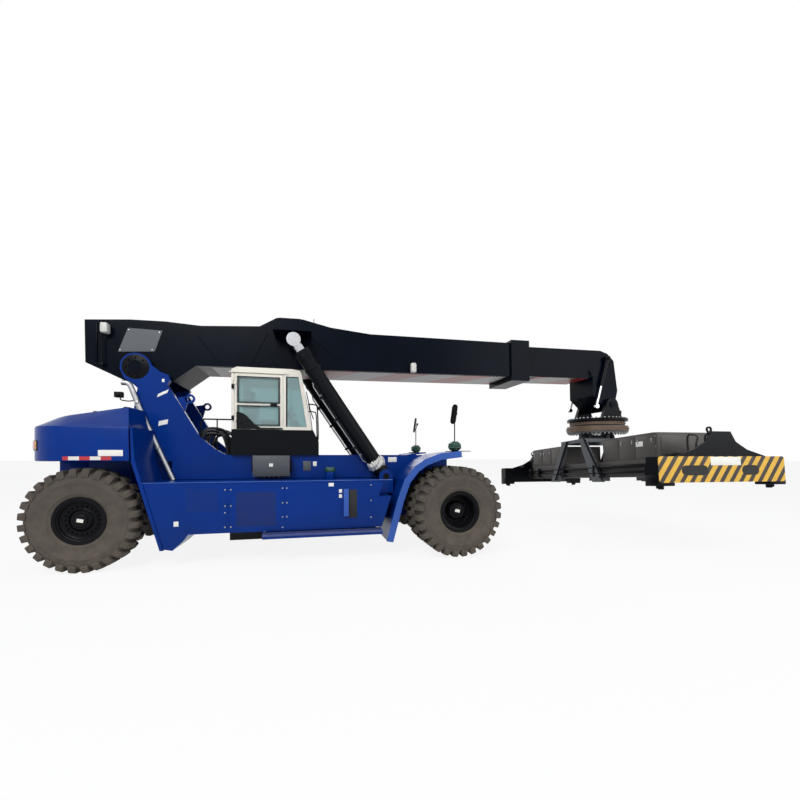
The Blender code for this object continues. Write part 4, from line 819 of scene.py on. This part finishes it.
def cab_fittings():
    bm = bmesh.new()
    slab(bm, [(2.095, 2.31), (2.57, 2.31), (2.50, 2.345), (2.42, 2.40), (2.34, 2.48), (2.27, 2.56),
              (2.20, 2.605),
              (2.12, 2.625), (2.095, 2.625)], CAB_SKIN - 0.006, CAB_SKIN, bevel=0.002)
    panel(bm, 2.095, 2.92, 2.308, 2.335, CAB_SKIN - 0.006, CAB_SKIN, 0.002)
    piece("door_lower_skin", bm, VINYL, "cab_door")
    bm = bmesh.new()
    for low, high in ((2.375, 2.755), (2.800, 3.300)):
        for left, right, bottom, top in ((2.105, 2.135, low, high), (2.842, 2.872, low, high),
                                         (2.105, 2.872, low, low + 0.022),
                                         (2.105, 2.872, high - 0.022, high)):
            panel(bm, left, right, bottom, top, CAB_SKIN - 0.005, CAB_SKIN, 0.002)
    piece("door_window_seals", bm, SEAL, "cab_door")
    bm = bmesh.new()
    panel(bm, 2.70, 2.82, 2.752, 2.800, CAB_SKIN - 0.03, CAB_SKIN - 0.014, 0.006)
    panel(bm, 2.71, 2.725, 2.76, 2.79, CAB_SKIN - 0.02, CAB_SKIN, 0.002)
    panel(bm, 2.795, 2.81, 2.76, 2.79, CAB_SKIN - 0.02, CAB_SKIN, 0.002)
    piece("door_handle", bm, VINYL, "cab_door")
    bm = bmesh.new()
    for z in (2.46, 3.05):
        rod(bm, (2.040, CAB_SKIN - 0.010, z), (2.040, CAB_SKIN - 0.010, z + 0.10), 0.011, 14, bevel=0.003)
        panel(bm, 2.005, 2.038, z + 0.01, z + 0.09, CAB_SKIN - 0.005, CAB_SKIN + 0.002, 0.002)
    piece("door_hinge_knuckles", bm, BLACK, "chassis")
    bm = bmesh.new()
    panel(bm, 1.96, 3.02, 3.365, 3.385, CAB_SKIN - 0.012, CAB_SKIN + 0.03, 0.005)
    panel(bm, 1.96, 3.02, 3.365, 3.385, -CAB_SKIN + 0.012 - 0.02, -CAB_SKIN - 0.03, 0.005)
    piece("roof_gutter", bm, CREAM, "chassis")
    bm = bmesh.new()
    for s in (-1.0, 1.0):
        line = [(2.995, 2.35), (3.40, 2.35), (3.385, 2.42), (3.245, 3.33), (2.995, 3.33)]
        for k in range(5):
            a, b = line[k], line[(k + 1) % 5]
            tube(bm, [(a[0], s * 0.732, a[1]), (b[0], s * 0.732, b[1])], 0.012, 8, rounded=False)
    piece("side_window_seals", bm, SEAL, "chassis")
    bm = bmesh.new()
    for s in (-1.0, 1.0):
        tube(bm, [(3.255, s * 0.70, 3.345), (3.36, s * 0.70, 2.85), (3.44, s * 0.70, 2.34)], 0.016, 10,
             rounded=False)
    tube(bm, [(3.255, -0.69, 3.350), (3.255, 0.69, 3.350)], 0.016, 10, rounded=False)
    tube(bm, [(3.445, -0.69, 2.335), (3.445, 0.69, 2.335)], 0.016, 10, rounded=False)
    piece("windshield_seal", bm, SEAL, "chassis")
    bm = bmesh.new()
    tube(bm, [(3.455, -0.10, 2.335), (3.478, -0.10, 2.345), (3.44, -0.30, 2.62), (3.40, -0.42, 2.86)],
         0.008, 8)
    rod(bm, (3.43, -0.10, 2.325), (3.47, -0.10, 2.345), 0.022, 14, bevel=0.004)
    tube(bm, [(3.50, -0.40, 2.55), (3.435, -0.41, 2.74), (3.36, -0.42, 3.10)], 0.010, 6, rounded=False)
    piece("windshield_wiper", bm, VINYL, "chassis")
    bm = bmesh.new()
    for y in (-0.66, 0.66):
        tube(bm, [(3.55, y, 2.10), (3.585, y, 2.12), (3.59, y, 2.30), (3.57, y, 2.75), (3.52, y, 2.81),
                  (3.40, y, 2.82)],
             0.013, 10)
    piece("cab_grab_rails", bm, BLACK, "chassis")
    bm = bmesh.new()
    block(bm, (2.10, -0.50, 3.466), (2.72, 0.50, 3.482), 0.006)
    piece("roof_window", bm, GLASS, "chassis")


def seat_pad(name, size, place, channels):
    """A crowned foam pad: sides pulled in between its corners and sewn channels."""
    bm = bmesh.new()
    bmesh.ops.create_cube(bm, size=2.0)
    bmesh.ops.subdivide_edges(bm, edges=bm.edges[:], cuts=13, use_grid_fill=True)
    for vert in bm.verts:
        x, y, z = vert.co
        inward = 1 - 0.07 * (1 - z * z) - 0.05 * (1 - x * x) * abs(y) - 0.05 * (1 - y * y) * abs(x)
        round_in = 1 - 0.10 * (x * x) * (y * y)
        groove = 0.10 if any(abs(x - at) < 0.08 for at in channels) and z > 0.5 else 0.0
        crown = 0.72 + 0.28 * (1 - x ** 4) * (1 - y ** 4) - groove
        vert.co = Vector((x * inward * round_in * size[0] / 2, y * inward * round_in * size[1] / 2,
                          z * size[2] / 2 * (crown if z > 0 else 0.8)))
    made = piece(name, bm, FABRIC, "chassis", MACHINE @ place, crease=80)
    round_off = made.modifiers.new("round", "SUBSURF")
    round_off.levels = round_off.render_levels = 1
    return made


def cab_inside():
    """What shows through the glass: the seat, the wheel, a display and the armrests."""
    y = -0.001
    bm = bmesh.new()
    block(bm, (2.36, y - 0.20, 1.93), (2.74, y + 0.20, 2.02), 0.015)
    for k in range(5):
        block(bm, (2.39 + 0.006 * k, y - 0.17, 2.03 + 0.035 * k),
              (2.71 - 0.006 * k, y + 0.17, 2.055 + 0.035 * k), 0.012)
    block(bm, (2.32, y - 0.23, 2.21), (2.80, y + 0.23, 2.27), 0.02)
    for s in (-1, 1):
        block(bm, (2.42, y + s * 0.262 - 0.03, 2.47), (2.76, y + s * 0.262 + 0.03, 2.52), 0.014)
    made = piece("seat_suspension", bm, VINYL, "chassis")
    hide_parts("driver_seat")
    seat_pad("seat_base_cushion", (0.48, 0.46, 0.15), Matrix.Translation((2.58, y, 2.34)),
             (-0.35, 0.15, 0.6))
    seat_pad("seat_back_cushion", (0.62, 0.44, 0.14),
             Matrix.Translation((2.31, y, 2.66)) @ Matrix.Rotation(radians(-82), 4, "Y"),
             (-0.5, 0.0, 0.5))
    seat_pad("head_cushion", (0.20, 0.26, 0.10),
             Matrix.Translation((2.265, y, 3.03)) @ Matrix.Rotation(radians(-82), 4, "Y"), ())
    bm = bmesh.new()
    column_lean = Matrix.Rotation(radians(-62), 4, "Y")
    wheel_at = Matrix.Translation((2.98, y, 2.66)) @ column_lean @ Matrix.Rotation(pi / 2, 4, "X")
    spun(bm, [(0.200 + 0.014 * cos(k * pi / 4), 0.014 * sin(k * pi / 4)) for k in range(8)], 40, wheel_at)
    hub = bmesh.new()
    rod(hub, (0.0, -0.02, 0.0), (0.0, 0.02, 0.0), 0.05, 20, bevel=0.006)
    for k in range(3):
        angle = radians(90 + 120 * k)
        rod(hub, (0.0, 0.0, 0.0), (0.19 * cos(angle), 0.0, 0.19 * sin(angle)), 0.012, 8)
    merge(bm, hub, wheel_at)
    piece("steering_wheel", bm, VINYL, "chassis")
    bm = bmesh.new()
    block(bm, (3.02, -0.50, 2.50), (3.06, -0.26, 2.68), 0.01)
    tube(bm, [(3.05, -0.38, 2.52), (3.08, -0.38, 2.40), (3.06, -0.38, 2.30)], 0.014, 8)
    piece("cab_display", bm, VINYL, "chassis")


cab_fittings()
cab_inside()

# -------------------- boom


def boom_fittings():
    skin = 0.52
    bm = bmesh.new()
    for s in (-1.0, 1.0):
        for start, end in (((1.36, 4.075), (1.76, 3.56)), ((2.63, 4.22), (2.33, 3.60)),
                           ((3.43, 4.20), (4.15, 3.62))):
            tube(bm, [(start[0], s * (skin + 0.001), start[1]), (end[0], s * (skin + 0.001), end[1])],
                 0.008, 6, rounded=False)
        panel(bm, -0.30, -0.27, 3.48, 4.19, s * skin, s * (skin + 0.02), 0.004)
    piece("boom_seams", bm, NAVY, "outer_boom")
    bm = bmesh.new()
    for s in (-1.0, 1.0):
        slab(bm, [(0.21, 4.13), (0.78, 4.12), (0.65, 3.72), (0.05, 3.68)], s * skin, s * (skin + 0.016),
             bevel=0.006)
    piece("boom_access_panel", bm, GREY, "outer_boom")
    bm = bmesh.new()
    for s in (-1.0, 1.0):
        bolts(bm, [(x, s * (skin + 0.016), z) for x, z in ((0.23, 4.09), (0.73, 4.08), (0.61, 3.75),
                                                           (0.09, 3.72))],
              0.012, 0.010, (0, s, 0))
    piece("boom_panel_bolts", bm, STEEL, "outer_boom")
    bm = bmesh.new()
    tube(bm, [(-0.17, -0.60, 3.44), (-0.17, -0.60, 3.90), (-0.12, -0.60, 3.98)], 0.012, 8)
    panel(bm, -0.20, -0.14, 3.42, 3.46, -0.62, -0.52, 0.004)
    piece("work_lamp_post", bm, BLACK, "outer_boom")
    bm = bmesh.new()
    block(bm, (-0.17, -0.69, 3.98), (-0.05, -0.54, 4.16), 0.03, 3)
    piece("wrapped_work_lamp", bm, WRAP, "outer_boom")
    bm = bmesh.new()
    block(bm, (5.50, -0.66, 3.56), (5.62, -0.54, 3.76), 0.03, 3)
    piece("wrapped_boom_lamp", bm, WRAP, "outer_boom")
    bm = bmesh.new()
    rod(bm, (3.51, -0.30, 4.40), (3.51, -0.30, 4.47), 0.035, 14, bevel=0.006)
    rod(bm, (3.51, -0.30, 4.47), (3.51, -0.30, 4.63), 0.007, 8)
    piece("radio_mast", bm, VINYL, "outer_boom")


boom_fittings()


def boom_underside():
    """Red and off-white bands along the bottom plate of both sections."""
    for name, body, start, end, half, low in (("outer", "outer_boom", 1.20, 7.40, 0.46, 0.083),
                                              ("inner", "inner_boom", 8.20, 9.60, 0.40, 0.122)):
        bm = bmesh.new()
        block(bm, (start, -half, low - 0.003), (end, half, low + 0.001))
        piece(f"{name}_boom_warning_bands", bm, BOOM_BANDS, body, BOOM, chart=lambda co: (co.x, co.y))


boom_underside()

# -------------------- lift cylinders


def cylinder_dressing(tag, s):
    """A steel pipe pair along the barrel with its clamps, a gland at the mouth and a wrapped foot."""
    foot = MACHINE @ Vector((4.88, s * 0.90, 1.40))
    eye = BOOM @ Vector((2.75, s * 0.90, 0.545))
    run = (eye - foot).normalized()
    place = axes(run, run.cross(ACROSS).cross(run), run.cross(ACROSS), foot)
    reach = 2.60
    bm = bmesh.new()
    for y, lift, start, end in ((s * -0.05, 0.176, 0.42, reach - 0.32),
                                (s * 0.01, 0.180, 0.60, reach - 0.60)):
        tube(bm, [(start, y, 0.140), (start + 0.05, y, lift), (end - 0.08, y, lift), (end, y, 0.140)],
             0.015, 10, rounded=False)
    piece(f"lift_pipes_{tag}", bm, STEEL, "lift_barrels", place)
    bm = bmesh.new()
    for x in (0.80, 1.45, 1.95):
        block(bm, (x - 0.025, -0.08, 0.135), (x + 0.025, 0.06, 0.205), 0.006)
        bolts(bm, [(x, -0.02, 0.205)], 0.012, 0.010, (0, 0, 1))
    ring = [(0.147, -0.04), (0.158, -0.035), (0.158, 0.035), (0.147, 0.04)]
    spun(bm, ring, 32, Matrix.Translation((reach - 0.10, 0, 0)) @ Matrix.Rotation(pi / 2, 4, "Z"))
    piece(f"lift_pipe_clamps_{tag}", bm, BLACK, "lift_barrels", place)
    bm = wrapping((0.15, 0.180, 0.180), (0.08, 9, 4, 7), (0.04, 19), along=0.30)
    piece(f"cylinder_foot_wrap_{tag}", bm, WRAP, "lift_barrels", place)


for tag, s in SIDES:
    cylinder_dressing(tag, s)

# -------------------- head: ring bolts and slew motor


def head_fittings():
    centre = middle("turntable")
    for name, body, low, high in (("upper", "rotator_yoke", 2.722, 2.745),
                                  ("lower", "turntable", 2.352, 2.368)):
        bm = bmesh.new()
        direction = (0, 0, 1) if name == "upper" else (0, 0, -1)
        start = low if name == "upper" else high
        turns = [2 * pi * k / 44 for k in range(44)]
        bolts(bm, [(0.655 * cos(turn), 0.655 * sin(turn), start) for turn in turns], 0.019, 0.026,
              direction)
        piece(f"ring_bolts_{name}", bm, STEEL, body, Matrix.Translation((centre.x, centre.y, 0.0)))
    for name, body, low, high in (("upper", "rotator_yoke", 2.560, 2.650),
                                  ("lower", "turntable", 2.40, 2.53)):
        bm = bmesh.new()
        edge = 0.622 if name == "upper" else 0.701
        spun(bm, [(edge, -high), (edge + 0.012, 0.01 - high), (edge + 0.012, -low - 0.01), (edge, -low)],
             72,
             Matrix.Rotation(-pi / 2, 4, "X"))
        for k in range(60):
            angle = 2 * pi * k / 60
            out = Vector((cos(angle), sin(angle), 0.0))
            rod(bm, out * (edge + 0.010) + Vector((0, 0, (low + high) / 2)),
                out * (edge + 0.022) + Vector((0, 0, (low + high) / 2)), 0.014, 6)
        piece(f"ring_race_{name}", bm, RING_IRON, body, Matrix.Translation((centre.x, centre.y, 0.0)))
    bm = bmesh.new()
    rod(bm, (0.56, 0.0, 3.02), (0.56, 0.0, 3.14), 0.075, 20, bevel=0.01)
    rod(bm, (0.56, 0.0, 2.72), (0.56, 0.0, 2.76), 0.13, 24, bevel=0.008)
    block(bm, (0.50, -0.15, 2.86), (0.62, -0.09, 2.96), 0.01)
    bolts(bm, [(0.56 + 0.11 * cos(k * pi / 3), 0.11 * sin(k * pi / 3), 2.76) for k in range(6)], 0.012,
          0.014, (0, 0, 1))
    piece("slew_motor_cover", bm, VINYL, "rotator_yoke", Matrix.Translation((centre.x, centre.y, 0.0)))


head_fittings()

# -------------------- spreader


def spreader_fittings():
    top, bottom = -0.18, -0.69
    bm = bmesh.new()
    for turn in (1.0, -1.0):
        for left, right in ((0.86, 1.30), (1.335, 1.76), (1.795, 2.28)):
            for end in (-1.0, 1.0):
                block(bm, (turn * 0.580, end * left, bottom + 0.03),
                      (turn * 0.588, end * right, top - 0.03), 0.003)
    for s in (-1.0, 1.0):
        for x in (-0.45, -0.15, 0.15, 0.45):
            block(bm, (x - 0.13, s * 0.9, top), (x + 0.13, s * 2.25, top + 0.008), 0.003)
        block(bm, (-0.50, s * 2.330, bottom + 0.04), (0.50, s * 2.338, top - 0.05), 0.003)
    piece("cabinet_lids", bm, CABINET, "spreader_frame", SPREADER)
    bm = bmesh.new()
    for turn in (-1.0, 1.0):
        for y in (-2.2, -1.85, -1.70, -1.40, 1.40, 1.70, 1.85, 2.2):
            block(bm, (turn * 0.588, y - 0.012, -0.36), (turn * 0.600, y + 0.012, -0.28),
                  0.003)
        for y in (-2.30, -0.84, 0.84, 2.30):
            for z in (-0.25, -0.45, -0.65):
                rod(bm, (turn * 0.586, y, z), (turn * 0.598, y, z), 0.012, 6)
    piece("cabinet_latches", bm, STEEL, "spreader_frame", SPREADER)
    bm = bmesh.new()
    block(bm, (-0.592, -1.98, -0.42), (-0.588, -1.80, -0.32), 0.001)
    block(bm, (0.588, 1.80, -0.42), (0.592, 1.98, -0.32), 0.001)
    piece("cabinet_notices", bm, WHITE, "spreader_frame", SPREADER)
    bm = bmesh.new()
    for turn in (-1.0, 1.0):
        for z in (-0.80, -0.93):
            rod(bm, (turn * 0.66, -2.45, z), (turn * 0.66, 1.9, z), 0.035, 20, bevel=0.004)
            rod(bm, (turn * 0.66, 1.9, z), (turn * 0.66, 2.45, z), 0.022, 16)
        for y in (-2.30, -0.60, 0.60, 1.85, 2.30):
            block(bm, (turn * 0.60, y - 0.03, -1.00), (turn * 0.71, y + 0.03, -0.74), 0.006)
    piece("extension_cylinders", bm, BLACK, "spreader_frame", SPREADER)
    for tag, s in SIDES:
        bm = bmesh.new()
        for x in (-1.15, 1.15):
            block(bm, (x - 0.16, s * 2.79, -1.19), (x + 0.16, s * 3.075, -1.00), 0.012)
            rod(bm, (x, s * 2.9265, -1.19), (x, s * 2.9265, -1.235), 0.060, 24, bevel=0.006)
            for y in (2.80, 3.05):
                rod(bm, (x + 0.16, s * (y if y < 3 else 2.99), -1.08),
                    (x + 0.175, s * (y if y < 3 else 2.99), -1.08), 0.018, 6)
        for x in (-0.72, 0.72):
            block(bm, (x - 0.02, s * 2.62, -0.69), (x + 0.02, s * 3.02, -0.62), 0.004)
        piece(f"twistlock_housings_{tag}", bm, BLACK, f"end_beam_{tag}", SPREADER)
        bm = bmesh.new()
        for x in (-0.32, 0.32):
            tube(bm, [(x, s * 2.86, -0.69), (x, s * 2.88, -0.45), (x * 0.8, s * 2.86, -0.32),
                      (x * 0.6, s * 2.70, -0.27),
                      (x * 0.6, s * 2.60, -0.30), (x * 0.6, s * 2.60, -0.68)], 0.018, 10)
        piece(f"end_beam_pipes_{tag}", bm, HOSE, f"end_beam_{tag}", SPREADER)
        bm = bmesh.new()
        spun(bm, [(0.055, -0.012), (0.055, 0.012), (0.030, 0.012), (0.030, -0.012)], 24,
             Matrix.Translation((-0.21, s * 3.035, -0.22)))
        block(bm, (-0.245, s * 3.02, -0.30), (-0.175, s * 3.05, -0.25), 0.004)
        piece(f"lifting_ring_{tag}", bm, BLACK, f"end_beam_{tag}", SPREADER)
    bm = bmesh.new()
    for x in (-0.72, 0.72):
        for s in (-1.0, 1.0):
            tube(bm, [(x, s * 0.34, -0.10), (x, s * 0.93, -1.08)], 0.024, 10, rounded=False)
            bolts(bm, [(x + (0.02 if x > 0 else -0.02), s * 0.86, -1.02)], 0.02, 0.012,
                  (1 if x > 0 else -1, 0, 0))
    piece("carriage_braces", bm, BLACK, "sideshift_carriage", SPREADER)


spreader_fittings()

# -------------------- spreader face plates
PLATE_HALF, PLATE_LOW, PLATE_HIGH, PLATE_Y = 1.30, -1.135, -0.690, 3.0705


def oblong(centre_x, centre_z, half_x, half_z):
    """A slot outline with round ends."""
    reach = half_x - half_z
    return (arc((centre_x + reach, centre_z), half_z, -90, 90, 8)
            + arc((centre_x - reach, centre_z), half_z, 90, 270, 8))


for tag, side in SIDES:
    bm = bmesh.new()
    r = 0.05
    outline = (arc((PLATE_HALF - r, PLATE_LOW + r), r, -90, 0, 4)
               + arc((PLATE_HALF - r, PLATE_HIGH - r), r, 0, 90, 4)
               + arc((-PLATE_HALF + r, PLATE_HIGH - r), r, 90, 180, 4)
               + arc((-PLATE_HALF + r, PLATE_LOW + r), r, 180, 270, 4))
    slab(bm, outline, side * PLATE_Y, side * (PLATE_Y + 0.006))
    piece(f"hazard_plate_{tag}", bm, HAZARD, f"end_beam_{tag}", SPREADER,
          chart=lambda co, s=side: (-s * co.x, co.z))
    # the slots are painted shade: matt black oblongs laid on the plate where the holes lie in shade
    bm = bmesh.new()
    for x, half in ((-0.585, 0.265), (0.56, 0.18)):
        slab(bm, oblong(-side * x, -0.93, half, 0.085), side * PLATE_Y, side * (PLATE_Y + 0.0075))
    piece(f"hazard_plate_slots_{tag}", bm, RECESS_SHADE, f"end_beam_{tag}", SPREADER)
    bm = bmesh.new()
    block(bm, (-0.26, side * PLATE_Y if side > 0 else side * (PLATE_Y + 0.009), -0.845),
          (0.36, side * (PLATE_Y + 0.009) if side > 0 else side * PLATE_Y, -0.70), 0.002)
    piece(f"blank_notice_{tag}", bm, WHITE, f"end_beam_{tag}", SPREADER)

# -------------------- stage, lights, camera


def make_camera():
    data = bpy.data.cameras.new("camera")
    data.sensor_width = 36.0
    data.lens = 389.7 / 800 * 36.0
    data.shift_x = -0.002
    data.shift_y = 0.0692
    data.clip_start, data.clip_end = 0.05, 400.0
    camera = bpy.data.objects.new("camera", data)
    bpy.context.scene.collection.objects.link(camera)
    camera.location = MACHINE @ Vector(MACHINE_CAMERA)
    camera.rotation_euler = (pi / 2, 0.0, -CAMERA_TURN)
    bpy.context.scene.camera = camera


def seen_white(tree, surface, strength):
    """The camera, mirrors and glass see nearly white here, while the object gets the plain surface."""
    rays = add(tree, "ShaderNodeLightPath")
    either = add(tree, "ShaderNodeMath",
                 links={0: rays.outputs["Is Camera Ray"], 1: rays.outputs["Is Glossy Ray"]},
                 operation="MAXIMUM")
    any_ray = add(tree, "ShaderNodeMath",
                  links={0: either.outputs[0], 1: rays.outputs["Is Transmission Ray"]},
                  operation="MAXIMUM")
    share = add(tree, "ShaderNodeMath", {1: strength}, {0: any_ray.outputs[0]}, operation="MULTIPLY")
    glow = add(tree, "ShaderNodeEmission", {"Color": (1, 1, 1, 1), "Strength": 1.0})
    return add(tree, "ShaderNodeMixShader", links={0: share.outputs[0], 1: surface, 2: glow.outputs[0]})


def make_stage():
    bm = bmesh.new()
    bmesh.ops.create_grid(bm, x_segments=1, y_segments=1, size=150.0)
    bmesh.ops.translate(bm, vec=(0, 0, -0.002), verts=bm.verts)
    mesh = bpy.data.meshes.new("floor")
    bm.to_mesh(mesh)
    bm.free()
    floor = bpy.data.objects.new("floor", mesh)
    bpy.context.scene.collection.objects.link(floor)
    material, tree, shader = blank("pale_floor")
    shader.inputs["Base Color"].default_value = linear("#E8E8E6")
    shader.inputs["Roughness"].default_value = 0.9
    mixed = seen_white(tree, shader.outputs[0], 0.88)
    tree.links.new(mixed.outputs[0], tree.nodes["Material Output"].inputs["Surface"])
    mesh.materials.append(material)


def make_light():
    world = bpy.data.worlds.new("studio")
    bpy.context.scene.world = world
    world.use_nodes = True
    tree = world.node_tree
    plain = tree.nodes["Background"]
    plain.inputs["Color"].default_value = (0.86, 0.92, 1.0, 1)
    plain.inputs["Strength"].default_value = 0.42
    rays = add(tree, "ShaderNodeLightPath")
    seen = add(tree, "ShaderNodeMath", links={0: rays.outputs["Is Camera Ray"],
                                              1: rays.outputs["Is Transmission Ray"]},
                                              operation="MAXIMUM")
    either = add(tree, "ShaderNodeMath", links={0: seen.outputs[0], 1: rays.outputs["Is Glossy Ray"]},
                 operation="MAXIMUM")
    white = add(tree, "ShaderNodeBackground", {"Color": (1, 1, 1, 1), "Strength": 1.0})
    mixed = add(tree, "ShaderNodeMixShader", links={0: either.outputs[0], 1: plain.outputs[0],
                                                    2: white.outputs[0]})
    tree.links.new(mixed.outputs[0], tree.nodes["World Output"].inputs["Surface"])
    for name, place, size, power in (("key", (-7.0, -12.0, 12.0), 9.0, 1750.0),
                                     ("fill", (9.0, -10.0, 7.0), 8.0, 560.0),
                                     ("back", (0.0, 12.0, 10.0), 9.0, 650.0)):
        light = bpy.data.lights.new(name, "AREA")
        light.shape = "SQUARE"
        light.size = size
        light.energy = power
        lamp = bpy.data.objects.new(name, light)
        bpy.context.scene.collection.objects.link(lamp)
        lamp.location = place
        lamp.rotation_euler = (Vector((0.0, 0.0, 1.8)) - Vector(place)).to_track_quat("-Z",
                                                                                      "Y").to_euler()


make_camera()
make_stage()
make_light()
bpy.context.scene.view_settings.view_transform = "Standard"
